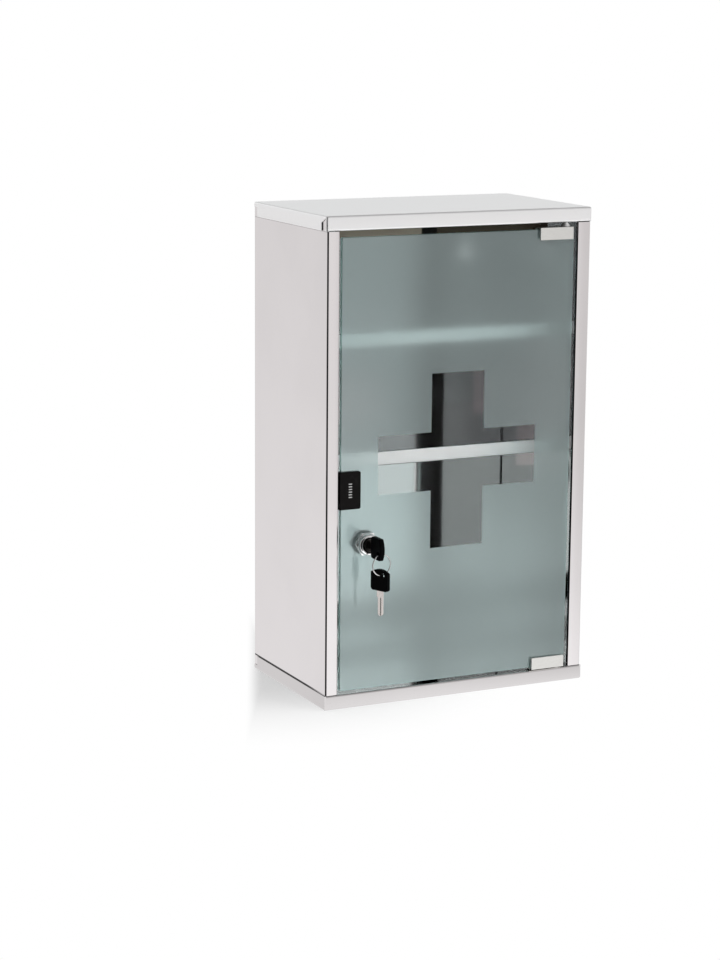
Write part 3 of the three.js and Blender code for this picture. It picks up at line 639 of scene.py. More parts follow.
@dataclass(frozen=True)
class TurnedMetal(Finish):
    """Dark metal with fine rings from the lathe, round an axis along the cabinet's depth."""

    centre: Point
    ring_colour: Colour = (0.16, 0.15, 0.145, 1.0)
    pitch: float = 1.9 * MM
    roughness: float = 0.22
    flat: Point = (1.0, 0.0, 1.0)
    ring_band: Band = (0.2, 0.9)
    ring_roughness: float = 0.12
    ring_bump: float = 0.1
    ring_height: float = 0.03 * MM
    haze_scale: float = 400.0
    haze_drift: float = 0.5
    haze_roughness: float = 0.08

    def shade(self, graph: Graph) -> Value:
        """Builds the finish's shader.

        Args:
            graph: Where its nodes go.

        Returns:
            The shader.
        """
        radius = graph.length(graph.mapped(self.flat, self.centre))
        wave = graph.math("SINE", radius * (math.tau / self.pitch))
        haze = graph.noise(graph.place(), self.haze_scale)
        rings = graph.smooth(wave + (haze - NOISE_MIDDLE) * self.haze_drift, *self.ring_band)
        return graph.surface(
            Base_Color=graph.mix(rings, self.colour, self.ring_colour),
            Metallic=1.0,
            Roughness=self.roughness + haze * self.haze_roughness + rings * self.ring_roughness,
            Normal=graph.bump(wave, self.ring_bump, self.ring_height),
        )


@dataclass(frozen=True)
class FrostedGlass(Finish):
    """Glass etched on its front face round a clear cross, with polished edges."""

    low: Point
    high: Point
    etched_colour: Colour = (0.70, 0.865, 0.86, 1.0)
    milk_colour: Colour = (0.66, 0.83, 0.825, 1.0)
    edge_colour: Colour = (0.36, 0.66, 0.60, 1.0)
    cross_x: float = -1.5 * MM
    cross_z: float = -2.0 * MM
    arm_reach: float = 90.0 * MM
    arm_half: float = 30.0 * MM
    arm_blur: float = 0.15 * MM
    front_band: Band = (0.3 * MM, 0.1 * MM)
    frost: float = 0.34
    milk: float = 0.36
    milk_through: float = 0.55
    refraction: float = 1.4
    coating: Colour = (0.1, 0.1, 0.1, 1.0)
    gloss: float = 0.04
    edge_band: float = 0.5 * MM
    edge_haze: float = 0.3
    grain_scale: float = 2600.0
    grain_frost: float = 0.06
    cloud_scale: float = 12.0
    cloud_frost: float = 0.04
    cloud_milk: float = 0.03

    def cross(self, graph: Graph, x: Value, z: Value) -> Value:
        """Finds the cross.

        Args:
            graph: Where new nodes go.
            x: The place across the pane.
            z: The place up the pane.

        Returns:
            One inside the cross and nothing outside it.
        """
        across = abs(x - self.cross_x)
        along = abs(z - self.cross_z)
        reach = graph.below(graph.most(across, along), self.arm_reach, self.arm_blur)
        width = graph.below(graph.math("MINIMUM", across, along), self.arm_half, self.arm_blur)
        return reach * width

    def rim(self, graph: Graph, x: Value, z: Value) -> Value:
        """Finds the pane's narrow edges.

        Args:
            graph: Where new nodes go.
            x: The place across the pane.
            z: The place up the pane.

        Returns:
            One on the edges and nothing on the faces.
        """
        middle_x = (self.low[0] + self.high[0]) / 2
        middle_z = (self.low[2] + self.high[2]) / 2
        side = abs(x - middle_x) - ((self.high[0] - self.low[0]) / 2 - self.edge_band)
        end = abs(z - middle_z) - ((self.high[2] - self.low[2]) / 2 - self.edge_band)
        return graph.smooth(graph.most(side, end), 0.0, EDGE_BLUR)

    def shade(self, graph: Graph) -> Value:
        """Builds the finish's shader: clear and frosted glass, with a milky layer on the frosted.

        Args:
            graph: Where its nodes go.

        Returns:
            The shader.
        """
        place = graph.place()
        x, y, z = graph.split(place)
        start, full = self.front_band
        front = graph.smooth(y, self.low[1] + start, self.low[1] + full)
        etched = front * (1.0 - self.cross(graph, x, z))
        rim = self.rim(graph, x, z) * (1.0 - etched)
        grain = graph.noise(place, self.grain_scale) - NOISE_MIDDLE
        cloud = graph.noise(place, self.cloud_scale) - NOISE_MIDDLE
        frost = self.frost + grain * self.grain_frost + cloud * self.cloud_frost
        tint = graph.mix(etched, self.colour, self.etched_colour)
        clear = graph.surface(
            Base_Color=graph.mix(rim, tint, self.edge_colour),
            Roughness=rim * self.edge_haze + etched * frost,
            Specular_Tint=self.coating,
            IOR=self.refraction,
            Transmission_Weight=1.0,
            Coat_Weight=etched,
            Coat_Roughness=self.gloss,
        )
        milky = graph.surface(
            Base_Color=self.milk_colour,
            Roughness=1.0,
            IOR=self.refraction,
            Transmission_Weight=self.milk_through,
            Coat_Weight=1.0,
            Coat_Roughness=self.gloss,
        )
        return graph.blend(etched * (self.milk + cloud * self.cloud_milk), clear, milky)


@dataclass(frozen=True)
class MouldedPlastic(Finish):
    """Plastic or coating with a fine moulded texture and rubbed high spots."""

    roughness: float = 0.35
    texture: float = 700.0
    depth: float = 0.15
    gloss: float = 0.5
    texture_height: float = 0.04 * MM
    texture_roughness: float = 0.12
    rub_scale: float = 120.0
    rub_band: Band = (0.5, 0.8)
    rub_polish: float = 0.06
    rub_gain: float = 1.25
    rub_lift: float = 0.004

    def shade(self, graph: Graph) -> Value:
        """Builds the finish's shader.

        Args:
            graph: Where its nodes go.

        Returns:
            The shader.
        """
        place = graph.place()
        grain = graph.noise(place, self.texture, FINE_DETAIL)
        rubbed = graph.smooth(graph.noise(place, self.rub_scale, FINE_DETAIL), *self.rub_band)
        worn = tuple(min(1.0, part * self.rub_gain + self.rub_lift) for part in self.colour[:3]) + (1.0,)
        rough = self.roughness + (grain - NOISE_MIDDLE) * self.texture_roughness
        return graph.surface(
            Base_Color=graph.mix(rubbed, self.colour, worn),
            Roughness=rough - rubbed * self.rub_polish,
            Specular_IOR_Level=self.gloss,
            Normal=graph.bump(grain, self.depth, self.texture_height),
        )


@dataclass(frozen=True)
class GapShadeFoam(Finish):
    """Foam strip, with a painted brownish reflection over the left of the door and a painted shadow band
    where it ends.
    """

    # Painted reflection over the left, and a painted shadow band where it ends.
    painted_reflection_colour: Colour = (0.36, 0.31, 0.25, 1.0)
    painted_gap_shadow_colour: Colour = (0.01, 0.009, 0.008, 1.0)
    painted_reflection_end: float = -39.0 * MM
    painted_gap_shadow_end: float = -22.0 * MM
    blur: float = 1.0 * MM
    drift: float = 6.0 * MM
    edge_wobble_scale: float = 60.0
    roughness: float = 0.85
    gloss: float = 0.1
    pore_scale: float = 1500.0
    pore_roughness: float = 0.2
    pore_bump: float = 0.4
    pore_height: float = 0.04 * MM

    def shade(self, graph: Graph) -> Value:
        """Builds the finish's shader.

        Args:
            graph: Where its nodes go.

        Returns:
            The shader.
        """
        place = graph.place()
        x, _, _ = graph.split(place)
        pores = graph.noise(place, self.pore_scale, FINE_DETAIL)
        edge_wobble = (graph.noise(place, self.edge_wobble_scale) - NOISE_MIDDLE) * self.drift
        # Painted shadow band with a wobbling edge, and painted reflection to the left of it.
        painted_gap_shadow = graph.below(x + edge_wobble, self.painted_gap_shadow_end, self.blur)
        painted_reflection = graph.below(x, self.painted_reflection_end, self.blur)
        tint = graph.mix(painted_gap_shadow, self.colour, self.painted_gap_shadow_colour)
        return graph.surface(
            Base_Color=graph.mix(painted_reflection, tint, self.painted_reflection_colour),
            Roughness=self.roughness + (pores - NOISE_MIDDLE) * self.pore_roughness,
            Specular_IOR_Level=self.gloss,
            Normal=graph.bump(pores, self.pore_bump, self.pore_height),
        )


@dataclass(frozen=True)
class Finishes:
    """The finishes that the cabinet's pieces share."""

    sheet: Finish = SheetSteel("stainless_sheet", Slot.SHEET, STEEL)
    wrap_sheet: Finish = WrapSheet("stainless_wrap", Slot.SHEET, STEEL)
    shelf_sheet: Finish = LippedSheet("stainless_shelf", Slot.SHEET, STEEL)
    # The bottom pan's sheet is darker than the other sheets as painted shade.
    shaded_base_sheet: Finish = BaseSheet("stainless_base_shaded", Slot.SHEET, (0.56, 0.538, 0.538, 1.0))
    satin: Finish = BrushedMetal("satin_nickel", Slot.SATIN, (0.68, 0.67, 0.645, 1.0))
    pin: Finish = BrushedMetal(
        "bright_pin", Slot.BRIGHT, (0.95, 0.95, 0.94, 1.0), 0.45, lines=(90.0, 90.0, 90.0)
    )
    plated: Finish = PlatedMetal("bright_plating", Slot.BRIGHT, (0.86, 0.86, 0.86, 1.0))
    wire: Finish = PlatedMetal("ring_wire", Slot.BRIGHT, (0.62, 0.62, 0.615, 1.0), 0.12)
    key_steel: Finish = BrushedMetal(
        "key_blade_nickel", Slot.BRIGHT, (0.62, 0.58, 0.555, 1.0), 0.2, lines=(160.0, 160.0, 4.0)
    )
    clip_coat: Finish = MouldedPlastic(
        "black_clip_coat", Slot.COAT, (0.0045, 0.0038, 0.004, 1.0), 0.4, texture=900.0, gloss=0.065
    )
    clip_print: Finish = MouldedPlastic(
        "pale_clip_print", Slot.COAT, (0.42, 0.42, 0.42, 1.0), 0.5, texture=1200.0
    )
    key_plastic: Finish = MouldedPlastic(
        "key_head_plastic", Slot.KEY, (0.0008, 0.0008, 0.0011, 1.0), 0.36, texture=800.0, gloss=0.02
    )
    nylon: Finish = MouldedPlastic(
        "natural_nylon", Slot.NYLON, (0.80, 0.785, 0.74, 1.0), 0.5, texture=500.0, depth=0.08
    )
    rubber: Finish = MouldedPlastic(
        "dark_rubber", Slot.RUBBER, (0.025, 0.025, 0.025, 1.0), 0.8, texture=600.0, depth=0.25, gloss=0.3
    )
    # The gap strip's foam: a dark stand-in for shade, with painted reflection and painted shadow.
    seal: Finish = GapShadeFoam("gap_shade_strip_foam", Slot.RUBBER, (0.07, 0.058, 0.043, 1.0))
    latch_grey: Finish = MouldedPlastic(
        "grey_latch_plastic", Slot.LATCH, (0.46, 0.465, 0.47, 1.0), 0.48, texture=600.0
    )
    magnet: Finish = BrushedMetal(
        "sintered_magnet", Slot.MAGNET, (0.12, 0.12, 0.125, 1.0), 0.5, lines=(120.0, 120.0, 120.0)
    )


@dataclass
class Maker:
    """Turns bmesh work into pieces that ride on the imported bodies."""

    frame: dict[str, dict]
    made: list[str] = field(default_factory=list)
    weld: float = 0.002 * MM
    flat_angle: float = 0.5
    sharp_angle: float = 50.0
    edge_segments: int = 2
    normal_weight: int = 100

    def piece(self, name: str, shape: Shape, finish: Finish, body: Body) -> bpy.types.Object:
        """Makes an object from a bmesh.

        Args:
            name: The piece's name.
            shape: Its mesh, in the cabinet's frame. It is freed.
            finish: What it is made of.
            body: The body that it rides on.

        Returns:
            The new object.
        """
        mesh = bpy.data.meshes.new(name)
        for face in shape.faces:
            face.smooth = True
        shape.to_mesh(mesh)
        shape.free()
        mesh.materials.append(finish.material())
        made = bpy.data.objects.new(name, mesh)
        bpy.context.scene.collection.objects.link(made)
        weighted = made.modifiers.new("flat_faces", "WEIGHTED_NORMAL")
        weighted.weight = self.normal_weight
        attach(made, body.value)
        self.made.append(name)
        LOG.info("made %s on %s", name, body.value)
        return made

    def stand_in(self, node: str, shape: Shape, finish: Finish, body: Body) -> bpy.types.Object:
        """Puts a mesh in a CAD node's place.

        Args:
            node: The node's name.
            shape: The mesh, which is freed.
            finish: What it is made of.
            body: The body that it rides on.

        Returns:
            The new object.
        """
        made = self.piece(f"{node}_dressed", shape, finish, body)
        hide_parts(node)
        return made

    def dress(self, node: str, finish: Finish, body: Body, edge: float) -> bpy.types.Object:
        """Puts a softened copy in a CAD node's place.

        Args:
            node: The node's name.
            finish: What the copy is made of.
            body: The body that it rides on.
            edge: The width of its rounded edges, in metres.

        Returns:
            The new object.
        """
        shape = self.copied(node)
        self.soften(shape, edge)
        return self.stand_in(node, shape, finish, body)

    def copied(self, node: str) -> Shape:
        """Copies a CAD node's mesh, with its triangles joined.

        Args:
            node: The node's name.

        Returns:
            The copy.
        """
        shape = bmesh.new()
        shape.from_mesh(self.frame["nodes"][node].data)
        bmesh.ops.remove_doubles(shape, verts=shape.verts, dist=self.weld)
        return shape

    def soften(self, shape: Shape, edge: float) -> None:
        """Rounds a mesh's sharp edges.

        Args:
            shape: The mesh, which is changed.
            edge: The width of the rounding, in metres.
        """
        flat = math.radians(self.flat_angle)
        limit = math.radians(self.sharp_angle)
        bmesh.ops.dissolve_limit(shape, angle_limit=flat, verts=shape.verts, edges=shape.edges)
        sharp = [e for e in shape.edges if e.is_manifold and e.calc_face_angle() > limit]
        self.rounded(shape, sharp, edge, self.edge_segments)

    def rounded(self, shape: Shape, edges: Line, width: float, segments: int) -> None:
        """Rounds some of a mesh's edges.

        Args:
            shape: The mesh, which is changed.
            edges: The edges.
            width: The width of the rounding, in metres.
            segments: The flats across it.
        """
        bmesh.ops.bevel(
            shape,
            geom=edges,
            offset=width,
            segments=segments,
            profile=0.5,
            affect="EDGES",
            material=-1,
            clamp_overlap=True,
        )

    def block(self, shape: Shape, centre: Point, size: Point) -> None:
        """Adds a square block to a mesh."""
        matrix = Matrix.Translation(centre) @ Matrix.Diagonal((*size, 1.0))
        bmesh.ops.create_cube(shape, size=1.0, matrix=matrix)

    def spin(self, shape: Shape, line: Line, centre: Point, axis: Vector, steps: int) -> None:
        """Spins a line once round an axis and closes what it makes.

        Args:
            shape: The mesh, which is changed.
            line: The line's vertices and edges.
            centre: A point on the axis.
            axis: The direction of the axis.
            steps: Flats round the piece.
        """
        bmesh.ops.spin(
            shape,
            geom=line,
            cent=centre,
            axis=axis,
            angle=math.tau,
            steps=steps,
            use_merge=True,
            use_duplicate=False,
        )
        bmesh.ops.remove_doubles(shape, verts=shape.verts, dist=self.weld)
        bmesh.ops.recalc_face_normals(shape, faces=shape.faces)

    def turned(self, profile: list[tuple[float, float]], start: Point, axis: Axis, steps: int) -> Shape:
        """Makes a piece as on a lathe.

        Args:
            profile: Radius and distance along the axis, in metres, as a closed or axis-to-axis line.
            start: The point on the axis that distances are counted from.
            axis: The direction of the axis.
            steps: Flats round the piece.

        Returns:
            The turned mesh.
        """
        shape = bmesh.new()
        along = Vector(axis.value)
        across = Vector((1.0, 0.0, 0.0))
        points = [shape.verts.new(Vector(start) + across * r + along * d) for r, d in profile]
        edges = [shape.edges.new(pair) for pair in zip(points, points[1:])]
        self.spin(shape, points + edges, start, along, steps)
        return shape


@dataclass
class SubAssembly:
    """Pieces that are made and dressed together."""

    maker: Maker
    finishes: Finishes

    def build(self) -> None:
        """Makes the pieces, in each sub-assembly's own way."""
        raise NotImplementedError


@dataclass
class Carcass(SubAssembly):
    """The folded body, its pans and its shelves."""

    edge: float = 0.15 * MM
    pan_bend: float = 2.0 * MM
    pan_return: float = 15.0 * MM
    pan_flange: float = 15.0 * MM
    # A dark strip stands in for the shade in the gap over the glass.
    seal_left: float = -131.0 * MM
    seal_right: float = 106.0 * MM
    seal_height: float = 8.5 * MM
    seal: float = 1.5 * MM
    seal_round: float = 0.4 * MM
    seal_segments: int = 3

    def build(self) -> None:
        """Makes every sheet piece and the dark strip that stands in for shade in the gap over the glass.
        """
        sheets = {
            "body_wrap": self.finishes.wrap_sheet,
            "top_pan": self.finishes.sheet,
            "upper_shelf": self.finishes.shelf_sheet,
            "lower_shelf": self.finishes.shelf_sheet,
        }
        for node, finish in sheets.items():
            self.maker.dress(node, finish, Body.CARCASS, self.edge)
        base = self.maker.copied("bottom_pan")
        self.square_front(base)
        self.maker.soften(base, self.edge)
        self.maker.stand_in("bottom_pan", base, self.finishes.shaded_base_sheet, Body.CARCASS)
        self.gap_shade_strip()

    def square_front(self, shape: Shape) -> None:
        """Pushes the base's two rounded front corners out to square ones.

        Args:
            shape: The base's mesh, which is changed.
        """
        low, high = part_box("bottom_pan")
        centre_y = low[1] + self.pan_bend
        for vert in shape.verts:
            side = 1.0 if vert.co.x > 0.0 else -1.0
            centre_x = side * (high[0] - self.pan_bend)
            out = (vert.co.x - centre_x) * side
            forward = centre_y - vert.co.y
            if out > 0.0 and forward > 0.0:
                stretch = math.hypot(out, forward) / max(out, forward)
                vert.co.x = centre_x + side * out * stretch
                vert.co.y = centre_y - forward * stretch

    def gap_shade_strip(self) -> None:
        """Hangs a dark foam strip from the top pan's return, behind the gap over the glass, where it
        stands in for the shade seen through the gap.
        """
        low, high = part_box("top_pan")
        top = high[2] - self.pan_flange
        rear = low[1] + self.pan_return
        middle = (self.seal_left + self.seal_right) / 2
        shape = bmesh.new()
        self.maker.block(
            shape,
            (middle, rear - self.seal / 2, top - self.seal_height / 2),
            (self.seal_right - self.seal_left, self.seal, self.seal_height),
        )
        self.maker.rounded(shape, shape.edges[:], self.seal_round, self.seal_segments)
        self.maker.piece("door_gap_shade_strip", shape, self.finishes.seal, Body.CARCASS)


@dataclass
class GlassDoor(SubAssembly):
    """The etched pane with its clear cross."""

    colour: Colour = (0.97, 0.98, 0.978, 1.0)

    def build(self) -> None:
        """Dresses the pane, whose solid already has its chamfers and hole."""
        low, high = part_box("glass_pane")
        finish = FrostedGlass("etched_glass", Slot.GLASS, self.colour, tuple(low), tuple(high))
        pane = self.maker.frame["nodes"]["glass_pane"]
        pane.data.materials.clear()
        pane.data.materials.append(finish.material())
        LOG.info("dressed glass_pane")


@dataclass
class PivotHinge(SubAssembly):
    """A clamp on the glass, its pin, pads and screws."""

    name: str
    axis: Axis
    block_edge: float = 0.45 * MM
    screw_edge: float = 0.12 * MM
    pad_edge: float = 0.1 * MM
    sleeve_edge: float = 0.08 * MM
    pin_round: float = 0.25 * MM
    flange_radius: float = 5.2 * MM
    flange: float = 0.6 * MM
    pin_radius: float = 3.2 * MM
    pin_steps: int = 64
    seat: float = 0.3 * MM

    def build(self) -> None:
        """Makes the clamp, the pin and what holds the glass."""
        dress = self.maker.dress
        finishes = self.finishes
        dress(f"{self.name}_hinge_block", finishes.satin, Body.DOOR, self.block_edge)
        self.pin()
        for number in (1, 2):
            screw = f"{self.name}_clamp_screw_{number}"
            dress(screw, finishes.plated, Body.DOOR, self.screw_edge)
        for side in ("front", "rear"):
            dress(f"{self.name}_{side}_pad", finishes.rubber, Body.DOOR, self.pad_edge)
        dress(f"{self.name}_pivot_sleeve", finishes.nylon, Body.CARCASS, self.sleeve_edge)

    def pin(self) -> None:
        """Turns the pin and its cone."""
        node = f"{self.name}_pivot_pin"
        low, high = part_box(node)
        centre_x = (low[0] + high[0]) / 2
        centre_y = (low[1] + high[1]) / 2
        block_low, block_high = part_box(f"{self.name}_hinge_block")
        up = self.axis is Axis.UP
        seat = block_high[2] if up else block_low[2]
        length = high[2] - seat if up else seat - low[2]
        sleeve_low, sleeve_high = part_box(f"{self.name}_pivot_sleeve")
        reach = sleeve_low[2] - seat if up else seat - sleeve_high[2]
        soft = self.pin_round
        profile = [
            (0.0, 0.0),
            (self.flange_radius - soft, 0.0),
            (self.flange_radius, soft),
            (self.flange_radius, self.flange),
            (self.pin_radius, reach - self.seat),
            (self.pin_radius, length - soft),
            (self.pin_radius - soft, length),
            (0.0, length),
        ]
        shape = self.maker.turned(profile, (centre_x, centre_y, seat), self.axis, self.pin_steps)
        self.maker.stand_in(node, shape, self.finishes.pin, Body.DOOR)


@dataclass
class StrikeClip(SubAssembly):
    """The black clip on the glass's free edge, printed with plain bars."""

    edge: float = 0.3 * MM
    bars: int = 6
    bar_width: float = 3.8 * MM
    bar_height: float = 1.1 * MM
    bar_pitch: float = 2.7 * MM
    bar_proud: float = 0.05 * MM
    bar_round: float = 0.4 * MM
    bar_segments: int = 3

    def build(self) -> None:
        """Makes the clip and its printed bars."""
        self.maker.dress("strike_clip", self.finishes.clip_coat, Body.DOOR, self.edge)
        low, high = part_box("strike_clip")
        size = (self.bar_width, 2 * self.bar_proud, self.bar_height)
        shape = bmesh.new()
        for bar in range(self.bars):
            height = (low[2] + high[2]) / 2 + (bar - (self.bars - 1) / 2) * self.bar_pitch
            self.maker.block(shape, ((low[0] + high[0]) / 2, low[1], height), size)
        corners = [e for e in shape.edges if abs((e.verts[0].co - e.verts[1].co).y) > self.bar_proud]
        self.maker.rounded(shape, corners, self.bar_round, self.bar_segments)
        self.maker.piece("clip_printed_bars", shape, self.finishes.clip_print, Body.DOOR)


@dataclass
class CamLock(SubAssembly):
    """The lock through the glass: bezel, collar, plug, nut and cam."""

    bezel_radius: float = 11.2 * MM
    bezel: float = 5.0 * MM
    bezel_taper: float = 4.2 * MM
    crown_steps: int = 5
    barrel_radius: float = 9.5 * MM
    bore_radius: float = 8.1 * MM
    lip: float = 0.4 * MM
    rim: float = 0.7 * MM
    turned_steps: int = 72
    collar_edge: float = 0.35 * MM
    nut_edge: float = 0.4 * MM
    washer_edge: float = 0.1 * MM
    plug_edge: float = 0.2 * MM
    plug_colour: Colour = (0.012, 0.011, 0.0105, 1.0)

    def build(self) -> None:
        """Makes every piece of the lock."""
        dress = self.maker.dress
        finishes = self.finishes
        self.housing()
        dress("lock_collar", finishes.plated, Body.DOOR, self.collar_edge)
        dress("lock_nut", finishes.plated, Body.DOOR, self.nut_edge)
        for node in ("lock_gasket", "lock_washer"):
            dress(node, finishes.rubber, Body.DOOR, self.washer_edge)
        low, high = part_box("lock_housing")
        axis = ((low[0] + high[0]) / 2, 0.0, (low[2] + high[2]) / 2)
        turned = TurnedMetal("turned_plug", Slot.PLUG, self.plug_colour, axis)
        dress("lock_plug", turned, Body.PLUG, self.plug_edge)
        dress("lock_cam", finishes.sheet, Body.PLUG, self.plug_edge)
        dress("cam_screw", finishes.plated, Body.PLUG, self.plug_edge)

    def housing(self) -> None:
        """Turns the bezel, with its rounded crown, and the barrel."""
        low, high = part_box("lock_housing")
        length = high[1] - low[1]
        start = ((low[0] + high[0]) / 2, low[1], (low[2] + high[2]) / 2)
        inner = self.bore_radius + self.rim
        turns = [math.pi / 2 * step / self.crown_steps for step in range(self.crown_steps + 1)]
        crown = [
            (
                inner + (self.bezel_radius - inner) * math.sin(turn),
                self.bezel_taper * (1.0 - math.cos(turn)),
            )
            for turn in turns
        ]
        profile = [
            (self.bore_radius, length),
            (self.bore_radius, self.lip),
            (self.bore_radius + self.lip, 0.0),
            *crown,
            (self.bezel_radius, self.bezel),
            (self.barrel_radius, self.bezel),
            (self.barrel_radius, length),
            (self.bore_radius, length),
        ]
        shape = self.maker.turned(profile, start, Axis.DEPTH, self.turned_steps)
        self.maker.stand_in("lock_housing", shape, self.finishes.plated, Body.DOOR)


@dataclass
class KeySet(SubAssembly):
    """The key in the lock, the spare and the ring that joins them."""

    head_edge: float = 0.5 * MM
    blade_edge: float = 0.18 * MM
    wire_sides: int = 16
    ring_steps: int = 96

    def build(self) -> None:
        """Makes both keys and the ring."""
        dress = self.maker.dress
        for prefix, body in (("key", Body.KEY), ("spare_key", Body.SPARE_KEY)):
            dress(f"{prefix}_head", self.finishes.key_plastic, body, self.head_edge)
            dress(f"{prefix}_blade", self.finishes.key_steel, body, self.blade_edge)
        self.ring()

    def ring(self) -> None:
        """Spins the ring's wire round its middle."""
        points = [vert.co.copy() for vert in self.maker.frame["nodes"]["key_ring"].data.vertices]
        middle = sum(points, Vector()) / len(points)
        side = max(points, key=lambda point: point.x) - middle
        across = Vector((side.x, side.y, 0.0)).normalized()
        up = Vector(Axis.UP.value)
        normal = across.cross(up)
        wire = max(abs((point - middle).dot(normal)) for point in points)
        low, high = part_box("key_ring")
        radius = (high[2] - low[2]) / 2 - wire
        upright = Matrix((across, up, -normal)).transposed().to_4x4()
        place = Matrix.Translation(middle + across * radius)
        start = place @ upright @ Matrix.Rotation(math.pi / 2, 4, "X")
        shape = bmesh.new()
        loop = bmesh.ops.create_circle(shape, segments=self.wire_sides, radius=wire, matrix=start)
        self.maker.spin(shape, loop["verts"] + shape.edges[:], middle, normal, self.ring_steps)
        self.maker.stand_in("key_ring", shape, self.finishes.wire, Body.RING)


@dataclass
class PushLatch(SubAssembly):
    """The sprung latch behind the clip."""

    edge: float = 0.2 * MM
    wire_edge: float = 0.02 * MM
    travel: float = 4.0 * MM

    def build(self) -> None:
        """Makes the latch, its bracket, its screws and its spring."""
        dress = self.maker.dress
        finishes = self.finishes
        dress("latch_bracket", finishes.sheet, Body.CARCASS, self.edge)
        dress("latch_housing", finishes.latch_grey, Body.CARCASS, self.edge)
        dress("latch_plunger", finishes.latch_grey, Body.PLUNGER, self.edge)
        dress("latch_magnet", finishes.magnet, Body.PLUNGER, self.edge)
        for number in (1, 2):
            dress(f"latch_screw_{number}", finishes.plated, Body.CARCASS, self.edge)
        self.spring()

    def spring(self) -> None:
        """Makes the spring, with a mesh of its own."""
        plated = self.finishes.plated
        spring = self.maker.dress("latch_spring", plated, Body.CARCASS, self.wire_edge)
        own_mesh(spring)


@dataclass
class Viewpoint:
    """The camera, where the photograph was taken from."""

    place: Point = (-1.18406, -2.39441, 0.47505)
    yaw: float = 25.8386
    pitch: float = 11.2544
    roll: float = 0.456
    lens: float = 94.088
    sensor: float = 36.0
    reach: float = 60.0

    def build(self) -> None:
        """Stands the camera in its place and shows colours as they are."""
        data = bpy.data.cameras.new("camera")
        data.lens = self.lens
        data.sensor_width = self.sensor
        data.clip_end = self.reach
        camera = bpy.data.objects.new("camera", data)
        heading = Matrix.Rotation(-math.radians(self.yaw), 4, "Z")
        tilt = Matrix.Rotation(math.radians(90.0 - self.pitch), 4, "X")
        roll = Matrix.Rotation(math.radians(self.roll), 4, "Z")
        camera.matrix_world = Matrix.Translation(self.place) @ heading @ tilt @ roll
        bpy.context.scene.collection.objects.link(camera)
        bpy.context.scene.camera = camera
        bpy.context.scene.view_settings.view_transform = "Standard"


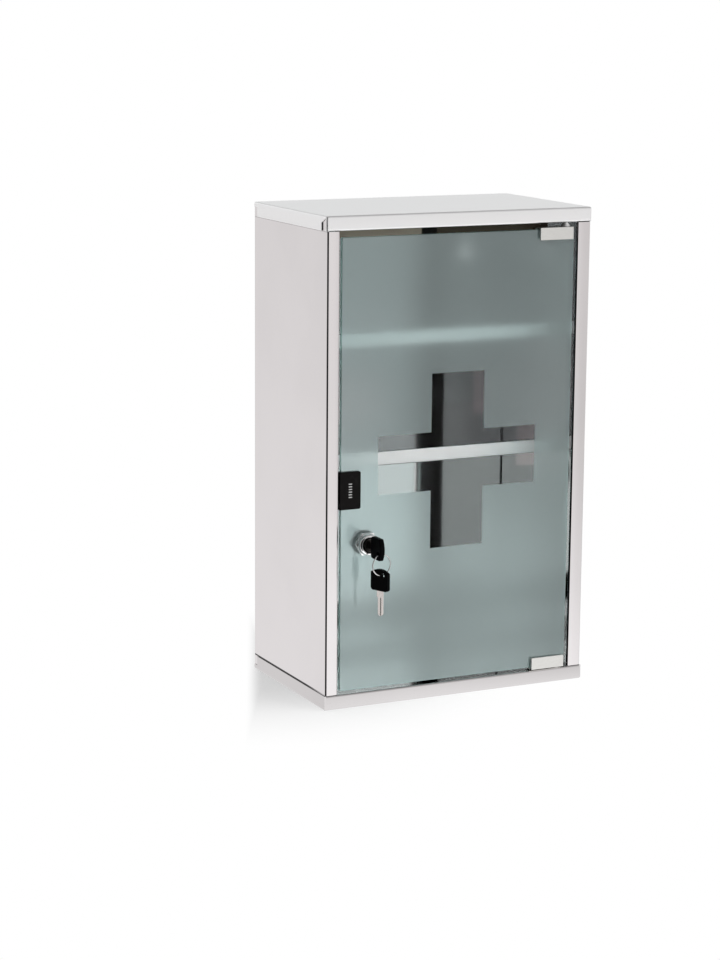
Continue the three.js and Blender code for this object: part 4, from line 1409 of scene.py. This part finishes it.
@dataclass
class Floor:
    """A plain pale floor, which keeps the cabinet's shadow and fades to white away from it."""

    size: float = 30.0
    gap: float = 0.2 * MM
    colour: Colour = (0.86, 0.86, 0.86, 1.0)
    least_glow: float = 0.36
    shadow_place: Point = (-0.15, -0.02, -0.25)
    shadow_reach: Band = (0.04, 0.28)
    shadow_side: Point = (0.918, -0.3985, 0.0)
    shadow_end: Band = (-0.128, -0.146)

    def material(self) -> bpy.types.Material:
        """Makes the floor's material.

        Returns:
            The material.
        """
        made = bpy.data.materials.new("pale_floor")
        made.use_nodes = True
        graph = Graph(made.node_tree)
        matt = graph.out(graph.node("ShaderNodeBsdfDiffuse", None, {"Color": self.colour}))
        glow = graph.out(graph.node("ShaderNodeEmission", None, {"Strength": 1.0}))
        distance = graph.length(graph.mapped(centre=self.shadow_place))
        away = graph.smooth(distance, *self.shadow_reach)
        beside = graph.smooth(graph.dot(graph.place(), self.shadow_side), *self.shadow_end)
        share = self.least_glow + graph.most(away, beside) * (1.0 - self.least_glow)
        graph.show(graph.blend(graph.seen_rays() * share, matt, glow))
        return made

    def build(self) -> None:
        """Lays the floor under the cabinet."""
        low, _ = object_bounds()
        shape = bmesh.new()
        place = Matrix.Translation((0.0, 0.0, low[2] - self.gap))
        bmesh.ops.create_grid(shape, x_segments=1, y_segments=1, size=self.size / 2, matrix=place)
        mesh = bpy.data.meshes.new("studio_floor")
        shape.to_mesh(mesh)
        shape.free()
        mesh.materials.append(self.material())
        floor = bpy.data.objects.new("studio_floor", mesh)
        bpy.context.scene.collection.objects.link(floor)
        floor.visible_glossy = False
        floor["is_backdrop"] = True


@dataclass
class Surroundings:
    """Pale walls round the scene, with a dark side left of the camera.

    A band is a range of a direction's height, from -1 straight down to 1 straight up, or of another part.
    """

    white: Colour = (1.0, 1.0, 1.0, 1.0)
    soft_light: Colour = (0.55, 0.55, 0.55, 1.0)
    side_light: Colour = (0.93, 0.925, 0.927, 1.0)
    side_low_light: Colour = (1.035, 1.03, 1.035, 1.0)
    side_low: Band = (-0.04, -0.30)
    top_light: Colour = (1.28, 1.31, 1.315, 1.0)
    top: Band = (0.03, 0.16)
    top_high_light: Colour = (0.62, 0.62, 0.62, 1.0)
    top_high: Band = (0.24, 0.45)
    front_light: Colour = (1.05, 1.045, 1.045, 1.0)
    front_level_light: Colour = (1.07, 1.06, 1.06, 1.0)
    front_level: Band = (-0.20, -0.08)
    front_low_light: Colour = (1.33, 1.34, 1.345, 1.0)
    front_low: Band = (-0.17, -0.30)
    front_high_light: Colour = (0.74, 0.74, 0.74, 1.0)
    inner_high_light: Colour = (1.5, 1.5, 1.5, 1.0)
    front_high: Band = (-0.02, 0.12)
    right: Band = (0.42, 0.53)
    right_fall: float = 0.19
    right_low_gain: float = 0.15
    forward: Band = (0.15, -0.15)
    zenith_light: Colour = (0.4, 0.4, 0.4, 1.0)
    zenith: Band = (0.5, 0.75)
    dark_light: Colour = (0.02, 0.02, 0.021, 1.0)
    dark_side: Point = (-0.75, -0.66, 0.0)
    dark_edge: Band = (0.60, 0.70)

    def back_walls(self, graph: Graph, z: Value) -> Value:
        """Makes the walls beside and behind the cabinet.

        Args:
            graph: Where new nodes go.
            z: The direction's height.

        Returns:
            Their light.
        """
        walls = graph.mix(graph.smooth(z, *self.side_low), self.side_light, self.side_low_light)
        walls = graph.mix(graph.smooth(z, *self.top), walls, self.top_light)
        return graph.mix(graph.smooth(z, *self.top_high), walls, self.top_high_light)

    def front_walls(self, graph: Graph, x: Value, z: Value, through: Value) -> Value:
        """Makes the walls in front of the cabinet, which fall off to the right.

        Args:
            graph: Where new nodes go.
            x: The direction's part across the cabinet.
            z: The direction's height.
            through: One for rays that came through glass.

        Returns:
            Their light.
        """
        low = graph.smooth(z, *self.front_low)
        walls = graph.mix(graph.smooth(z, *self.front_level), self.front_light, self.front_level_light)
        walls = graph.mix(low, walls, self.front_low_light)
        fall = graph.smooth(x, *self.right) * (self.right_fall - low * self.right_low_gain)
        walls = graph.mix(fall, walls, self.dark_light)
        high = graph.mix(through, self.front_high_light, self.inner_high_light)
        return graph.mix(graph.smooth(z, *self.front_high), walls, high)

    def build(self) -> None:
        """Makes the world, which is plain white to the camera and even for matt surfaces."""
        world = bpy.data.worlds.new("studio")
        world.use_nodes = True
        bpy.context.scene.world = world
        graph = Graph(world.node_tree)
        direction = graph.out(graph.node("ShaderNodeTexCoord"), "Generated")
        x, y, z = graph.split(direction)
        through = graph.ray("Is Transmission Ray")
        front = self.front_walls(graph, x, z, through)
        walls = graph.mix(graph.smooth(y, *self.forward), self.back_walls(graph, z), front)
        walls = graph.mix(graph.smooth(z, *self.zenith), walls, self.zenith_light)
        toward = graph.dot(direction, tuple(Vector(self.dark_side).normalized()))
        dark = graph.smooth(toward, *self.dark_edge) * (1.0 - through)
        walls = graph.mix(dark, walls, self.dark_light)
        shown = graph.mix(graph.ray("Is Camera Ray"), walls, self.white)
        colour = graph.mix(graph.seen_rays(), self.soft_light, shown)
        background = graph.node("ShaderNodeBackground", None, {"Color": colour, "Strength": 1.0})
        graph.node("ShaderNodeOutputWorld", None, {"Surface": graph.out(background)})


@dataclass
class Lamps:
    """Two large soft lamps above, and a small spot in front."""

    middle: Point = (0.0, -0.09, 0.0)
    key_place: Point = (1.6, -1.5, 2.3)
    key_size: float = 1.6
    key_power: float = 24.0
    top_place: Point = (-0.5, -0.6, 2.6)
    top_size: float = 2.0
    top_power: float = 14.0
    spot_place: Point = (0.127, -0.70, -0.228)
    spot_aim: Point = (-0.04, -0.18, -0.195)
    spot_power: float = 11.0
    spot_angle: float = 46.0
    spot_blend: float = 0.9
    spot_radius: float = 0.03

    def build(self) -> None:
        """Hangs every lamp."""
        self.soft_lamp("key_light", self.key_place, self.key_size, self.key_power)
        self.soft_lamp("top_light", self.top_place, self.top_size, self.top_power)
        self.low_spot()

    def hang(self, data: bpy.types.Light, place: Point, aim: Point) -> bpy.types.Object:
        """Puts a lamp in its place, out of sight of mirrors.

        Args:
            data: The lamp.
            place: Where it hangs.
            aim: What it points at.

        Returns:
            The lamp's object.
        """
        lamp = bpy.data.objects.new(data.name, data)
        lamp.location = place
        lamp.rotation_euler = (Vector(aim) - Vector(place)).to_track_quat("-Z", "Y").to_euler()
        lamp.visible_glossy = False
        bpy.context.scene.collection.objects.link(lamp)
        return lamp

    def soft_lamp(self, name: str, place: Point, size: float, power: float) -> None:
        """Hangs a soft lamp that points at the cabinet's middle.

        Args:
            name: The lamp's name.
            place: Where it hangs.
            size: Its width, in metres.
            power: Its power, in watts.
        """
        data = bpy.data.lights.new(name, "AREA")
        data.size = size
        data.energy = power
        self.hang(data, place, self.middle)

    def low_spot(self) -> None:
        """Stands the spot, which throws the keys' shadow on the frosted glass and isn't mirrored in it."""
        data = bpy.data.lights.new("low_spot", "SPOT")
        data.energy = self.spot_power
        data.spot_size = math.radians(self.spot_angle)
        data.spot_blend = self.spot_blend
        data.shadow_soft_size = self.spot_radius
        self.hang(data, self.spot_place, self.spot_aim).visible_transmission = False


def main() -> None:
    """Dresses the cabinet and sets up the studio."""
    logging.basicConfig(level=logging.INFO, format="%(name)s: %(message)s")
    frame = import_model()
    for staging in (Viewpoint(), Floor(), Surroundings(), Lamps()):
        staging.build()
    maker = Maker(frame)
    finishes = Finishes()
    for assembly in (
        Carcass(maker, finishes),
        GlassDoor(maker, finishes),
        PivotHinge(maker, finishes, "upper", Axis.UP),
        PivotHinge(maker, finishes, "lower", Axis.DOWN),
        StrikeClip(maker, finishes),
        CamLock(maker, finishes),
        KeySet(maker, finishes),
        PushLatch(maker, finishes),
    ):
        assembly.build()
    LOG.info("%d pieces", len(maker.made))


if __name__ == "__main__":
    main()
